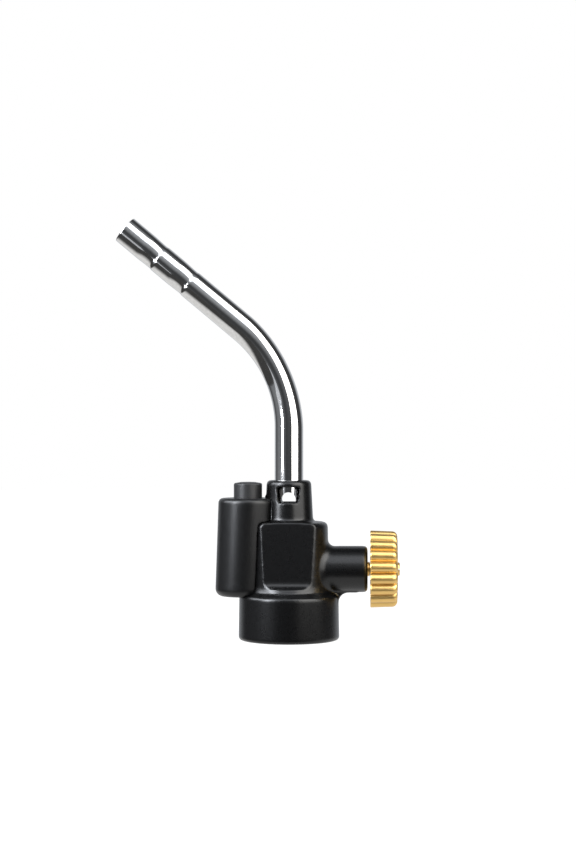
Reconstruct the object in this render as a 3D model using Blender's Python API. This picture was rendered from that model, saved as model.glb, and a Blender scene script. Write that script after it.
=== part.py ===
"""Hand torch for glass work: a bent burner tube on a cast body, with a gas valve and a push igniter.

Lengths are in metres and +Z is up. The torch axis is the Z axis, the bottom of the collar is at
Z = 0, the valve knob points to +X, the igniter pod sits at -X and the front is at -Y.
"""

import math

import bmesh
import bpy
from mathutils import Matrix, Vector

# Fits between pieces
CLEARANCE = 0.0003
SEAM = 0.0004
SEAT_CLEARANCE = 0.00015

# Fineness of the round shapes
ARC_STEPS = 2
BODY_SEGMENTS = 40
ROUND_SEGMENTS = 24
SMALL_SEGMENTS = 12
WELD = 0.000001
SHARP_ANGLE = math.radians(32)

# Cast body: collar, shoulder, block and neck
COLLAR_RADIUS = 0.02085
COLLAR_DRAFT = 0.00025
COLLAR_HEIGHT = 0.0186
COLLAR_FOOT_ROUND = 0.0012
COLLAR_EDGE_ROUND = 0.0008
SHOULDER_RISE = 0.0029
SHOULDER_FILLET = 0.0015
BLOCK_LOW_RADIUS = 0.0169
BLOCK_TOP_RADIUS = 0.0163
BLOCK_HEIGHT = 0.0283
BLOCK_EDGE_ROUND = 0.0021
NECK_LOW_RADIUS = 0.0100
NECK_TOP_RADIUS = 0.0091
NECK_HEIGHT = 0.0171
NECK_EDGE_ROUND = 0.0017
NECK_FILLET = 0.0013

# Flat front and rear panels of the block
PANEL_LOW_DEPTH = 0.0138
PANEL_TOP_DEPTH = 0.0117
PANEL_FLOOR_RISE = 0.0002
PANEL_FILLET = 0.0028

# Air windows through the neck
WINDOW_TOP_WIDTH = 0.0094
WINDOW_LOW_WIDTH = 0.0082
WINDOW_HEIGHT = 0.0064
WINDOW_RISE = 0.0079
WINDOW_CORNER = 0.0007

# Valve boss on the block and the gusset under it
BOSS_RADIUS = 0.0095
BOSS_REACH = 0.0330
BOSS_EDGE_ROUND = 0.0016
BOSS_RISE = 0.00815
GUSSET_RADIUS = 0.0040
GUSSET_WIDTH = 0.0070

# Gas ways inside the body
RISER_RADIUS = 0.0015
INLET_WAY_RADIUS = 0.0009
INLET_WAY_OFFSET = 0.0062
RECESS_RADIUS = 0.0074
RECESS_DEPTH = 0.0024

# Threaded cylinder socket, its seal, valve depressor and filter
SOCKET_RADIUS = 0.0160
SOCKET_BORE_RADIUS = 0.0122
SOCKET_MOUTH_CHAMFER = 0.0010
SOCKET_SETBACK = 0.0012
SOCKET_LENGTH = 0.0140
SOCKET_CEILING = 0.0032
SEAL_RADIUS = 0.0080
SEAL_THICKNESS = 0.0015
DEPRESSOR_RADIUS = 0.0022
DEPRESSOR_BORE = 0.0008
DEPRESSOR_REACH = 0.0040
DEPRESSOR_FLANGE_RADIUS = 0.0044
DEPRESSOR_FLANGE = 0.0008
FILTER_RADIUS = 0.0043

# Burner tube
TUBE_RADIUS = 0.0060
TUBE_WALL = 0.0008
TUBE_SIDES = 20
TUBE_SEAT_RISE = 0.0027
TUBE_STRAIGHT_TOP = 0.0892
BEND_RADIUS = 0.0540
BEND_ANGLE = math.radians(50)
BEND_STEPS = 8
BEND_FLATTENING = 0.0006
TIP_LENGTH = 0.0650
CRIMP_FROM_TIP = (0.0183, 0.0350)
CRIMP_DEPTH = 0.00045
CRIMP_LEAD_IN = 0.0040
CRIMP_RETURN = 0.0012
AIR_HOLE_RADIUS = 0.00305
AIR_HOLE_RISE = 0.0091

# Gas jet under the burner tube
JET_THREAD_RADIUS = 0.0026
JET_THREAD_LENGTH = 0.0065
JET_HEX_RADIUS = 0.0036
JET_HEX_HEIGHT = 0.0022
JET_CONE_RADIUS = 0.0024
JET_TOP_RADIUS = 0.0013
JET_CONE_HEIGHT = 0.0018
JET_HOLE_RADIUS = 0.0004

# Swirl insert and spark electrode in the burner tip
SWIRL_FROM_TIP = 0.0145
SWIRL_LENGTH = 0.0235
SWIRL_HUB_RADIUS = 0.0028
SWIRL_VANES = 6
SWIRL_VANE_SHARE = 0.4
SWIRL_TWIST = math.radians(70)
SWIRL_STEPS = ((0.0, True), (0.5, True), (1.0, True), (1.0, False), (1.75, False), (2.5, False))
INSULATOR_RADIUS = 0.0016
INSULATOR_BORE = 0.0009
INSULATOR_FROM_TIP = 0.0115
INSULATOR_LENGTH = 0.0330
ELECTRODE_RADIUS = 0.0006
ELECTRODE_FROM_TIP = 0.0070

# Igniter pod beside the block
POD_OFFSET = 0.0192
POD_TOP_OFFSET = 0.0173
POD_TOP_RADIUS = 0.0121
POD_LOW_RADIUS = 0.0116
POD_SINK = 0.0004
POD_HEIGHT = 0.0412
POD_WALL = 0.0016
POD_TOP_ROUND = 0.0019
POD_LOW_ROUND = 0.0033
POCKET_OFFSET = 0.01865
POCKET_RADIUS = 0.0086
NIB_WIDTH = 0.0044
NIB_HEIGHT = 0.0015
NIB_REACH = 0.0009

# Push button, plunger and return spring
IGNITER_OFFSET = 0.01724
BUTTON_RADIUS = 0.00595
BUTTON_RISE = 0.0068
BUTTON_CROWN = 0.0007
BUTTON_EDGE_ROUND = 0.0006
BUTTON_ROOF = 0.0047
BUTTON_STROKE = 0.0050
PLUNGER_RADIUS = 0.0042
PLUNGER_BORE = 0.0031
PLUNGER_ENTRY = 0.0040
RETURN_SPRING_WIRE = 0.0004
RETURN_SPRING_TURNS = 5
CURL_POINTS = 8

# Piezo unit
CASE_RADIUS = 0.0060
CASE_WALL = 0.0015
CASE_LENGTH = 0.0195
TERMINAL_THICKNESS = 0.0008
CRYSTAL_LENGTH = 0.0045
ANVIL_THICKNESS = 0.0012
HAMMER_STRIKE = 0.0020
HAMMER_LENGTH = 0.0057
HAMMER_SPRING_WIRE = 0.0003
HAMMER_SPRING_TURNS = 7

# Ignition lead from the piezo unit to the electrode
LEAD_RADIUS = 0.0007
LEAD_TUBE_RUNS = 22
LEAD_BEND = ((0.45, 0.08), (0.86, 0.46), (1.0, 1.25))
LEAD_SLOPE = 4 / 3
LEAD_PASSAGE_ENDS = (0.2, 0.8)

# Valve seat, needle, stem and gland along the valve axis
CHAMBER_RADIUS = 0.0018
CHAMBER_LENGTH = 0.0027
SEAT_RADIUS = 0.0025
SEAT_LENGTH = 0.0027
SEAT_FACE = 0.0019
SEAT_HOLE_RADIUS = 0.0007
SEAT_CONE_DEPTH = 0.0009
SEAT_POCKET_END = 0.0020
NEEDLE_RADIUS = 0.0016
NEEDLE_TIP_RADIUS = 0.00045
NEEDLE_END = 0.0090
STEM_RADIUS = 0.0030
STEM_START = 0.0048
STEM_BORE_RADIUS = 0.0043
O_RING_PLACE = 0.01825
O_RING_THICKNESS = 0.0019
GLAND_RADIUS = 0.0060
GLAND_LENGTH = 0.0100
GLAND_SETBACK = 0.0004
GLAND_SLOT_WIDTH = 0.0016
GLAND_SLOT_DEPTH = 0.0012
PACKING_LENGTH = 0.0016

# Control knob and its screw
KNOB_GAP = 0.00115
KNOB_RADIUS = 0.0161
KNOB_DRAFT = 0.0003
KNOB_LENGTH = 0.01125
KNOB_EDGE_ROUND = 0.0018
KNOB_FLUTES = 18
KNOB_FLUTE_DEPTH = 0.0011
KNOB_FLUTE_SHAPE = (0.50, 0.38, 0.22, 0.0)
KNOB_FLUTE_PHASE = math.radians(-2.2)
KNOB_WEB = 0.0018
KNOB_SEAT_RADIUS = 0.0024
SCREW_RADIUS = 0.0012
SCREW_GRIP = 0.0055
SCREW_HEAD_RADIUS = 0.0028
SCREW_HEAD_HEIGHT = 0.00165
SCREW_HEAD_SINK = 0.0006
SCREW_SLOT_WIDTH = 0.0008
SCREW_SLOT_DEPTH = 0.0008

# Levels worked out from the sizes above
SHOULDER_TOP = COLLAR_HEIGHT + SHOULDER_RISE
BLOCK_TOP = SHOULDER_TOP + BLOCK_HEIGHT
NECK_TOP = BLOCK_TOP + NECK_HEIGHT
VALVE_Z = SHOULDER_TOP + BOSS_RISE
COLLAR_TOP_RADIUS = COLLAR_RADIUS - COLLAR_DRAFT
SOCKET_TOP = SOCKET_SETBACK + SOCKET_LENGTH
SOCKET_FLOOR = SOCKET_TOP - SOCKET_CEILING
POCKET_CEILING = SOCKET_TOP + CLEARANCE
RECESS_TOP = POCKET_CEILING + RECESS_DEPTH
TUBE_BORE = TUBE_RADIUS + CLEARANCE
TUBE_INNER_RADIUS = TUBE_RADIUS - TUBE_WALL
BORE_FLOOR = BLOCK_TOP + TUBE_SEAT_RISE
TUBE_BOTTOM = BORE_FLOOR + CLEARANCE
JET_HOLE_FLOOR = BORE_FLOOR - JET_THREAD_LENGTH - CLEARANCE
WINDOW_BOTTOM = BLOCK_TOP + WINDOW_RISE
POD_BOTTOM = COLLAR_HEIGHT - POD_SINK
POD_TOP = POD_BOTTOM + POD_HEIGHT
POD_FLOOR = POD_BOTTOM + POD_WALL
POD_CEILING = POD_TOP - POD_WALL
CASE_BOTTOM = POD_FLOOR + CLEARANCE
CASE_TOP = CASE_BOTTOM + CASE_LENGTH
CASE_BORE = CASE_RADIUS - CASE_WALL
STACK_RADIUS = CASE_BORE - CLEARANCE
TERMINAL_BOTTOM = CASE_BOTTOM + CASE_WALL + CLEARANCE
TERMINAL_TOP = TERMINAL_BOTTOM + TERMINAL_THICKNESS
CRYSTAL_BOTTOM = TERMINAL_TOP + CLEARANCE
CRYSTAL_TOP = CRYSTAL_BOTTOM + CRYSTAL_LENGTH
ANVIL_BOTTOM = CRYSTAL_TOP + CLEARANCE
ANVIL_TOP = ANVIL_BOTTOM + ANVIL_THICKNESS
HAMMER_BOTTOM = ANVIL_TOP + HAMMER_STRIKE + CLEARANCE
HAMMER_TOP = HAMMER_BOTTOM + HAMMER_LENGTH
HAMMER_RADIUS = PLUNGER_BORE - CLEARANCE
PLUNGER_BOTTOM = CASE_TOP - PLUNGER_ENTRY
BUTTON_TOP = POD_TOP + BUTTON_RISE
RETURN_SPRING_SOLID = 2 * RETURN_SPRING_WIRE * (RETURN_SPRING_TURNS + 1)
BUTTON_BOTTOM = CASE_TOP + BUTTON_STROKE + RETURN_SPRING_SOLID + 2 * CLEARANCE
BUTTON_SOCKET = PLUNGER_RADIUS + CLEARANCE
PLUNGER_TOP = BUTTON_TOP - BUTTON_ROOF - CLEARANCE
HAMMER_SPRING_SOLID = 2 * HAMMER_SPRING_WIRE * (HAMMER_SPRING_TURNS + 1)
PLUNGER_CEILING = HAMMER_TOP + BUTTON_STROKE + HAMMER_SPRING_SOLID + 2 * CLEARANCE
LEAD_CHANNEL = LEAD_RADIUS + CLEARANCE
LEAD_RUN = IGNITER_OFFSET - CASE_RADIUS - LEAD_CHANNEL
SEAT_POCKET = SEAT_RADIUS + CLEARANCE
SEAT_BACK = SEAT_FACE + SEAT_LENGTH
CHAMBER_START = SEAT_BACK + CLEARANCE
STEM_HOLE = NEEDLE_RADIUS + CLEARANCE
O_RING_GROOVE = STEM_BORE_RADIUS - 2 * CLEARANCE - O_RING_THICKNESS
GLAND_BORE = GLAND_RADIUS + CLEARANCE
GLAND_END = BOSS_REACH - GLAND_SETBACK
GLAND_START = GLAND_END - GLAND_LENGTH
GLAND_SEAT = GLAND_START - CLEARANCE
STEM_PASSAGE = STEM_RADIUS + CLEARANCE
PACKING_END = GLAND_SEAT - CLEARANCE
KNOB_START = BOSS_REACH + KNOB_GAP
KNOB_END = KNOB_START + KNOB_LENGTH
SCREW_SEAT = KNOB_END - SCREW_HEAD_SINK - CLEARANCE
KNOB_BORE_END = SCREW_SEAT - KNOB_WEB
STEM_SHOULDER = KNOB_START - CLEARANCE
STEM_END = KNOB_BORE_END - CLEARANCE
SCREW_HOLE = SCREW_RADIUS + CLEARANCE
SCREW_UNDER_HEAD = SCREW_SEAT + CLEARANCE
SCREW_TIP = STEM_END - SCREW_GRIP


def clear_scene() -> None:
    """Remove every object, so that the torch stands alone."""
    for thing in list(bpy.data.objects):
        bpy.data.objects.remove(thing, do_unlink=True)


def finish(name: str, colour: tuple, roughness: float, metallic: float):
    """Make a plain surface finish."""
    material = bpy.data.materials.new(name)
    material.use_nodes = True
    shader = material.node_tree.nodes["Principled BSDF"]
    shader.inputs["Base Color"].default_value = (*colour, 1.0)
    shader.inputs["Roughness"].default_value = roughness
    shader.inputs["Metallic"].default_value = metallic
    return material


def add_empty(name: str, parent=None, location=(0.0, 0.0, 0.0), turn_y=0.0):
    """Add an empty that places a group of pieces."""
    empty = bpy.data.objects.new(name, None)
    empty.parent = parent
    empty.location = location
    empty.rotation_euler = (0.0, turn_y, 0.0)
    bpy.context.scene.collection.objects.link(empty)
    return empty


def add_piece(name: str, bm, material, parent):
    """Turn a mesh in the making into a named piece under its parent."""
    bmesh.ops.remove_doubles(bm, verts=bm.verts, dist=WELD)
    bmesh.ops.recalc_face_normals(bm, faces=bm.faces)
    mesh = bpy.data.meshes.new(name)
    bm.to_mesh(mesh)
    bm.free()
    mesh.shade_smooth()
    mesh.set_sharp_from_angle(angle=SHARP_ANGLE)
    mesh.materials.append(material)
    piece = bpy.data.objects.new(name, mesh)
    piece.parent = parent
    bpy.context.scene.collection.objects.link(piece)
    return piece


def shape_with(piece, bm, material, parent, operation="DIFFERENCE") -> None:
    """Cut a shape out of a piece, or join one on to it."""
    count = len(piece.modifiers) + 1
    tool = add_piece(f"{piece.name}_tool_{count}", bm, material, parent)
    tool.hide_render = True
    tool.display_type = "WIRE"
    step = piece.modifiers.new(tool.name, "BOOLEAN")
    step.operation = operation
    step.solver = "EXACT"
    step.object = tool


def rounded(corners: list, closed: bool = False) -> list:
    """Turn (across, along, fillet) corners into points, with each fillet as an arc."""
    points = []
    last = len(corners) - 1
    for index, (across, along, fillet) in enumerate(corners):
        corner = Vector((across, along))
        if not fillet or (not closed and index in (0, last)):
            points.append(tuple(corner))
            continue
        following = corners[0] if index == last else corners[index + 1]
        back = (Vector(corners[index - 1][:2]) - corner).normalized()
        ahead = (Vector(following[:2]) - corner).normalized()
        half = back.angle(ahead) / 2
        middle = corner + (back + ahead).normalized() * (fillet / math.sin(half))
        start = corner + back * (fillet / math.tan(half)) - middle
        end = corner + ahead * (fillet / math.tan(half)) - middle
        first = math.atan2(start.y, start.x)
        sweep = (math.atan2(end.y, end.x) - first + math.pi) % math.tau - math.pi
        for step in range(ARC_STEPS + 1):
            angle = first + sweep * step / ARC_STEPS
            points.append((middle.x + fillet * math.cos(angle), middle.y + fillet * math.sin(angle)))
    return points


def lathe(points: list, segments: int = ROUND_SEGMENTS, closed: bool = False):
    """Turn an outline of (radius, height) points round the Z axis."""
    bm = bmesh.new()
    corners = [bm.verts.new((radius, 0.0, height)) for radius, height in points]
    ends = corners[1:] + corners[:1] if closed else corners[1:]
    edges = [bm.edges.new(pair) for pair in zip(corners, ends)]
    bmesh.ops.spin(
        bm,
        geom=corners + edges,
        cent=(0.0, 0.0, 0.0),
        axis=(0.0, 0.0, 1.0),
        angle=math.tau,
        steps=segments,
        use_merge=True,
    )
    return bm


def rod(radius: float, low: float, high: float, segments: int = SMALL_SEGMENTS):
    """Turn a plain round bar along the Z axis."""
    return lathe([(0.0, low), (radius, low), (radius, high), (0.0, high)], segments)


def turn_half_facet(bm, segments: int) -> None:
    """Turn a round shape by half a facet, so that its edges miss those of its neighbours."""
    half_facet = Matrix.Rotation(math.pi / segments, 3, "Z")
    bmesh.ops.rotate(bm, verts=bm.verts, cent=(0.0, 0.0, 0.0), matrix=half_facet)


def ring(inner: float, outer: float, low: float, high: float, segments: int = ROUND_SEGMENTS):
    """Turn a flat ring round the Z axis."""
    return lathe([(inner, low), (outer, low), (outer, high), (inner, high)], segments, closed=True)


def slab(outline: list, to_space, thickness: float, direction: Vector):
    """Extrude an outline, placed in space by a function, by half the thickness to each side."""
    bm = bmesh.new()
    face = bm.faces.new([bm.verts.new(to_space(*point)) for point in outline])
    moved = bmesh.ops.extrude_face_region(bm, geom=[face])
    tops = [item for item in moved["geom"] if isinstance(item, bmesh.types.BMVert)]
    bmesh.ops.translate(bm, verts=tops, vec=direction * thickness)
    bmesh.ops.translate(bm, verts=bm.verts, vec=direction * (-thickness / 2))
    return bm


def loft(rings: list, closed: bool = False):
    """Skin a row of rings that have as many points each, and cap or close the row."""
    bm = bmesh.new()
    loops = [[bm.verts.new(point) for point in points] for points in rings]
    followers = loops[1:] + loops[:1] if closed else loops[1:]
    for low, high in zip(loops, followers):
        for index in range(len(low)):
            bm.faces.new((low[index - 1], low[index], high[index], high[index - 1]))
    if not closed:
        bm.faces.new(loops[0])
        bm.faces.new(loops[-1])
    return bm


def bar_between(radius: float, start: Vector, end: Vector):
    """Make a round bar from one point to another."""
    bm = rod(radius, 0.0, (end - start).length)
    bmesh.ops.rotate(
        bm, verts=bm.verts, cent=(0.0, 0.0, 0.0), matrix=(end - start).to_track_quat("Z", "Y").to_matrix()
    )
    bmesh.ops.translate(bm, verts=bm.verts, vec=start)
    return bm


def add_wire(name: str, points: list, radius: float, material, parent):
    """Add a round wire that follows a row of points."""
    curve = bpy.data.curves.new(name, "CURVE")
    curve.dimensions = "3D"
    curve.bevel_depth = radius
    curve.bevel_resolution = 1
    curve.use_fill_caps = True
    curve.materials.append(material)
    spline = curve.splines.new("POLY")
    spline.points.add(len(points) - 1)
    for target, point in zip(spline.points, points):
        target.co = (*point, 1.0)
    piece = bpy.data.objects.new(name, curve)
    piece.parent = parent
    bpy.context.scene.collection.objects.link(piece)
    return piece


def add_spring(name: str, radius: float, wire: float, low: float, high: float, turns: int, material, parent):
    """Add a coil spring round the Z axis between two levels."""
    bottom = low + wire
    rise = high - low - 2 * wire
    points = []
    for index in range(turns * CURL_POINTS + 1):
        share = index / (turns * CURL_POINTS)
        angle = math.tau * turns * share
        points.append((radius * math.cos(angle), radius * math.sin(angle), bottom + rise * share))
    return add_wire(name, points, wire, material, parent)


def body_outline(grow: float) -> list:
    """Give the outside of the cast body from its neck down, grown by a clearance."""
    return [
        (NECK_TOP_RADIUS + grow, NECK_TOP, NECK_EDGE_ROUND),
        (NECK_LOW_RADIUS + grow, BLOCK_TOP + grow, NECK_FILLET),
        (BLOCK_TOP_RADIUS + grow, BLOCK_TOP + grow, BLOCK_EDGE_ROUND),
        (BLOCK_LOW_RADIUS + grow, SHOULDER_TOP, SHOULDER_FILLET),
        (COLLAR_TOP_RADIUS + grow, COLLAR_HEIGHT, COLLAR_EDGE_ROUND),
    ]


def make_body(metal, root, valve) -> None:
    """Cast the body with its boss, panels, windows, bores and pod pocket."""
    inside_top = [
        (0.0, VALVE_Z, 0.0),
        (RISER_RADIUS, VALVE_Z, 0.0),
        (RISER_RADIUS, JET_HOLE_FLOOR, 0.0),
        (JET_THREAD_RADIUS + CLEARANCE, JET_HOLE_FLOOR, 0.0),
        (JET_THREAD_RADIUS + CLEARANCE, BORE_FLOOR, 0.0),
        (TUBE_BORE, BORE_FLOOR, 0.0),
        (TUBE_BORE, NECK_TOP, 0.0),
    ]
    inside_low = [
        (COLLAR_RADIUS, 0.0, COLLAR_FOOT_ROUND),
        (SOCKET_RADIUS + CLEARANCE, 0.0, 0.0),
        (SOCKET_RADIUS + CLEARANCE, POCKET_CEILING, 0.0),
        (RECESS_RADIUS, POCKET_CEILING, 0.0),
        (RECESS_RADIUS, RECESS_TOP, 0.0),
        (0.0, RECESS_TOP, 0.0),
    ]
    profile = rounded(inside_top + body_outline(0.0) + inside_low)
    body = add_piece("torch_body", lathe(profile, BODY_SEGMENTS), metal, root)
    inlet_way = rod(INLET_WAY_RADIUS, RECESS_TOP - RECESS_DEPTH / 2, VALVE_Z, SMALL_SEGMENTS)
    bmesh.ops.translate(inlet_way, verts=inlet_way.verts, vec=(-INLET_WAY_OFFSET, 0.0, 0.0))
    shape_with(body, inlet_way, metal, root)
    add_boss(body, metal, root, valve)
    add_nib(body, metal, root)
    for side in (-1.0, 1.0):
        shape_with(body, panel_cutter(side), metal, root)
    shape_with(body, window_cutter(), metal, root)
    shape_with(body, valve_bore(), metal, valve)
    pocket = rod(POCKET_RADIUS, POD_FLOOR, POD_CEILING, BODY_SEGMENTS)
    bmesh.ops.translate(pocket, verts=pocket.verts, vec=(-POCKET_OFFSET, 0.0, 0.0))
    shape_with(body, pocket, metal, root)
    foot, knee, _ = lead_corners()
    shape_with(body, bar_between(LEAD_CHANNEL, foot, knee), metal, root)
    shape_with(body, lead_passage(), metal, root)


def add_boss(body, metal, root, valve) -> None:
    """Join the valve boss and the gusset that carries it to the block."""
    root_of_boss = BLOCK_LOW_RADIUS / 2
    profile = rounded(
        [
            (0.0, root_of_boss, 0.0),
            (BOSS_RADIUS, root_of_boss, 0.0),
            (BOSS_RADIUS, BOSS_REACH, BOSS_EDGE_ROUND),
            (0.0, BOSS_REACH, 0.0),
        ]
    )
    shape_with(body, lathe(profile, BODY_SEGMENTS), metal, valve, "UNION")
    under = VALVE_Z - BOSS_RADIUS
    foot = under - GUSSET_RADIUS
    outer = COLLAR_TOP_RADIUS + GUSSET_RADIUS
    inside = BLOCK_LOW_RADIUS - GUSSET_RADIUS
    outline = [(inside, VALVE_Z), (outer, VALVE_Z)]
    for step in range(2 * ARC_STEPS + 1):
        angle = math.pi / 2 * (1 + step / (2 * ARC_STEPS))
        outline.append((outer + GUSSET_RADIUS * math.cos(angle), foot + GUSSET_RADIUS * math.sin(angle)))
    outline.append((COLLAR_TOP_RADIUS - GUSSET_RADIUS / 2, foot))
    outline.append((inside, SHOULDER_TOP))
    gusset = slab(outline, lambda x, z: (x, 0.0, z), GUSSET_WIDTH, Vector((0.0, 1.0, 0.0)))
    shape_with(body, gusset, metal, root, "UNION")


def add_nib(body, metal, root) -> None:
    """Join the small nib on the neck that keeps the pod down."""
    low = POD_TOP + CLEARANCE
    slope = (NECK_LOW_RADIUS - NECK_TOP_RADIUS) / NECK_HEIGHT
    skin = NECK_LOW_RADIUS - slope * (low - BLOCK_TOP)
    inside = (skin + TUBE_BORE) / 2
    outline = [
        (-inside, low),
        (-skin - NIB_REACH, low),
        (-skin - NIB_REACH / 3, low + NIB_HEIGHT / 2),
        (-inside, low + NIB_HEIGHT),
    ]
    nib = slab(outline, lambda x, z: (x, 0.0, z), NIB_WIDTH, Vector((0.0, 1.0, 0.0)))
    shape_with(body, nib, metal, root, "UNION")


def panel_cutter(side: float):
    """Shape the tool that cuts one flat panel, with a fillet along its foot."""
    floor = SHOULDER_TOP + PANEL_FLOOR_RISE
    lean = (PANEL_LOW_DEPTH - PANEL_TOP_DEPTH) / BLOCK_HEIGHT
    over = BLOCK_TOP + BLOCK_EDGE_ROUND
    top_depth = PANEL_TOP_DEPTH - lean * BLOCK_EDGE_ROUND
    far = 2 * BLOCK_LOW_RADIUS
    outline = rounded(
        [
            (far, floor, 0.0),
            (PANEL_LOW_DEPTH, floor, PANEL_FILLET),
            (top_depth, over, 0.0),
            (far, over, 0.0),
        ]
    )
    return slab(outline, lambda y, z: (0.0, side * y, z), 2 * far, Vector((1.0, 0.0, 0.0)))


def window_cutter():
    """Shape the tool that opens the air windows through the front and the back of the neck."""
    top = WINDOW_BOTTOM + WINDOW_HEIGHT
    outline = rounded(
        [
            (-WINDOW_LOW_WIDTH / 2, WINDOW_BOTTOM, WINDOW_CORNER),
            (WINDOW_LOW_WIDTH / 2, WINDOW_BOTTOM, WINDOW_CORNER),
            (WINDOW_TOP_WIDTH / 2, top, WINDOW_CORNER),
            (-WINDOW_TOP_WIDTH / 2, top, WINDOW_CORNER),
        ],
        closed=True,
    )
    return slab(outline, lambda x, z: (x, 0.0, z), 4 * NECK_LOW_RADIUS, Vector((0.0, 1.0, 0.0)))


def valve_bore():
    """Shape the stepped bore that runs in from the end of the valve boss, turned by half a facet."""
    start = -CHAMBER_START - CHAMBER_LENGTH
    past_end = BOSS_REACH + GLAND_SETBACK
    bore = lathe(
        [
            (0.0, start),
            (CHAMBER_RADIUS, start),
            (CHAMBER_RADIUS, -CHAMBER_START),
            (SEAT_POCKET, -CHAMBER_START),
            (SEAT_POCKET, SEAT_POCKET_END),
            (STEM_BORE_RADIUS, SEAT_POCKET_END),
            (STEM_BORE_RADIUS, GLAND_SEAT),
            (GLAND_BORE, GLAND_SEAT),
            (GLAND_BORE, past_end),
            (0.0, past_end),
        ],
        ROUND_SEGMENTS,
    )
    turn_half_facet(bore, ROUND_SEGMENTS)
    return bore


def make_inlet(brass, rubber, bronze, root) -> None:
    """Make the cylinder socket with its seal, valve depressor and filter."""
    mouth = SOCKET_BORE_RADIUS + SOCKET_MOUTH_CHAMFER
    hole = DEPRESSOR_RADIUS + CLEARANCE
    socket = [
        (mouth, SOCKET_SETBACK),
        (SOCKET_RADIUS, SOCKET_SETBACK),
        (SOCKET_RADIUS, SOCKET_TOP),
        (hole, SOCKET_TOP),
        (hole, SOCKET_FLOOR),
        (SOCKET_BORE_RADIUS, SOCKET_FLOOR),
        (SOCKET_BORE_RADIUS, SOCKET_SETBACK + SOCKET_MOUTH_CHAMFER),
    ]
    add_piece("cylinder_socket", lathe(socket, BODY_SEGMENTS, closed=True), brass, root)
    seal_top = SOCKET_FLOOR - CLEARANCE
    add_piece("inlet_seal", ring(hole, SEAL_RADIUS, seal_top - SEAL_THICKNESS, seal_top), rubber, root)
    flange_low = POCKET_CEILING
    flange_top = flange_low + DEPRESSOR_FLANGE
    depressor = [
        (DEPRESSOR_BORE, SOCKET_FLOOR - DEPRESSOR_REACH),
        (DEPRESSOR_RADIUS, SOCKET_FLOOR - DEPRESSOR_REACH),
        (DEPRESSOR_RADIUS, flange_low),
        (DEPRESSOR_FLANGE_RADIUS, flange_low),
        (DEPRESSOR_FLANGE_RADIUS, flange_top),
        (DEPRESSOR_BORE, flange_top),
    ]
    add_piece("valve_depressor", lathe(depressor, SMALL_SEGMENTS, closed=True), brass, root)
    sieve = rod(FILTER_RADIUS, flange_top + CLEARANCE, RECESS_TOP - CLEARANCE, SMALL_SEGMENTS)
    add_piece("inlet_filter", sieve, bronze, root)


def make_jet(brass, root) -> None:
    """Make the gas jet with its thread, hexagon and drilled nozzle."""
    low = JET_HOLE_FLOOR + CLEARANCE
    seat = BORE_FLOOR + CLEARANCE
    cone = seat + JET_HEX_HEIGHT
    profile = [
        (JET_HOLE_RADIUS, low),
        (JET_THREAD_RADIUS, low),
        (JET_THREAD_RADIUS, seat + CLEARANCE),
        (JET_CONE_RADIUS, cone),
        (JET_TOP_RADIUS, cone + JET_CONE_HEIGHT),
        (JET_HOLE_RADIUS, cone + JET_CONE_HEIGHT),
    ]
    jet = add_piece("gas_jet", lathe(profile, SMALL_SEGMENTS, closed=True), brass, root)
    inside = (JET_HOLE_RADIUS + JET_TOP_RADIUS) / 2
    shape_with(jet, ring(inside, JET_HEX_RADIUS, seat, cone, 6), brass, root, "UNION")


def along_tube(distance: float) -> tuple:
    """Give the centre of the burner tube and its turn, at a distance from its lower end."""
    straight = TUBE_STRAIGHT_TOP - TUBE_BOTTOM
    turn = min(max((distance - straight) / BEND_RADIUS, 0.0), BEND_ANGLE)
    rest = max(distance - straight - BEND_RADIUS * BEND_ANGLE, 0.0)
    rise = min(distance, straight)
    centre = Vector((0.0, 0.0, TUBE_BOTTOM + rise))
    centre.x -= BEND_RADIUS * (1 - math.cos(turn)) + rest * math.sin(turn)
    centre.z += BEND_RADIUS * math.sin(turn) + rest * math.cos(turn)
    return centre, turn


def tube_length() -> float:
    """Give the length of the burner tube along its middle."""
    return TUBE_STRAIGHT_TOP - TUBE_BOTTOM + BEND_RADIUS * BEND_ANGLE + TIP_LENGTH


def crimp_squeeze(from_tip: float) -> float:
    """Give how far the rolled crimps press the tube in, at a distance from the tip."""
    squeeze = 0.0
    for crimp in CRIMP_FROM_TIP:
        past = from_tip - crimp
        reach = CRIMP_RETURN if past > 0 else CRIMP_LEAD_IN
        near = max(1 - abs(past) / reach, 0.0)
        squeeze = max(squeeze, CRIMP_DEPTH * near * near * (3 - 2 * near))
    return squeeze


def tube_ring(distance: float, radius: float) -> list:
    """Give one ring of points round the tube, flattened a little on the outside of the bend."""
    centre, turn = along_tube(distance)
    outward = Vector((math.cos(turn), 0.0, math.sin(turn)))
    flat = BEND_FLATTENING * math.sin(math.pi * turn / BEND_ANGLE)
    radius -= crimp_squeeze(tube_length() - distance)
    points = []
    for index in range(TUBE_SIDES):
        angle = math.tau * index / TUBE_SIDES
        reach = radius - flat * max(math.cos(angle), 0.0)
        across = Vector((0.0, reach * math.sin(angle), 0.0))
        points.append(centre + outward * (reach * math.cos(angle)) + across)
    return points


def tube_stations() -> list:
    """Give the distances along the tube where its form changes."""
    length = tube_length()
    straight = TUBE_STRAIGHT_TOP - TUBE_BOTTOM
    bend = BEND_RADIUS * BEND_ANGLE
    places = [0.0, length]
    places += [straight + bend * step / BEND_STEPS for step in range(BEND_STEPS + 1)]
    for crimp in CRIMP_FROM_TIP:
        offsets = (-CRIMP_LEAD_IN, -CRIMP_LEAD_IN / 2, 0.0, CRIMP_RETURN / 2, CRIMP_RETURN)
        places += [length - crimp - offset for offset in offsets]
    return sorted(places)


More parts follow.
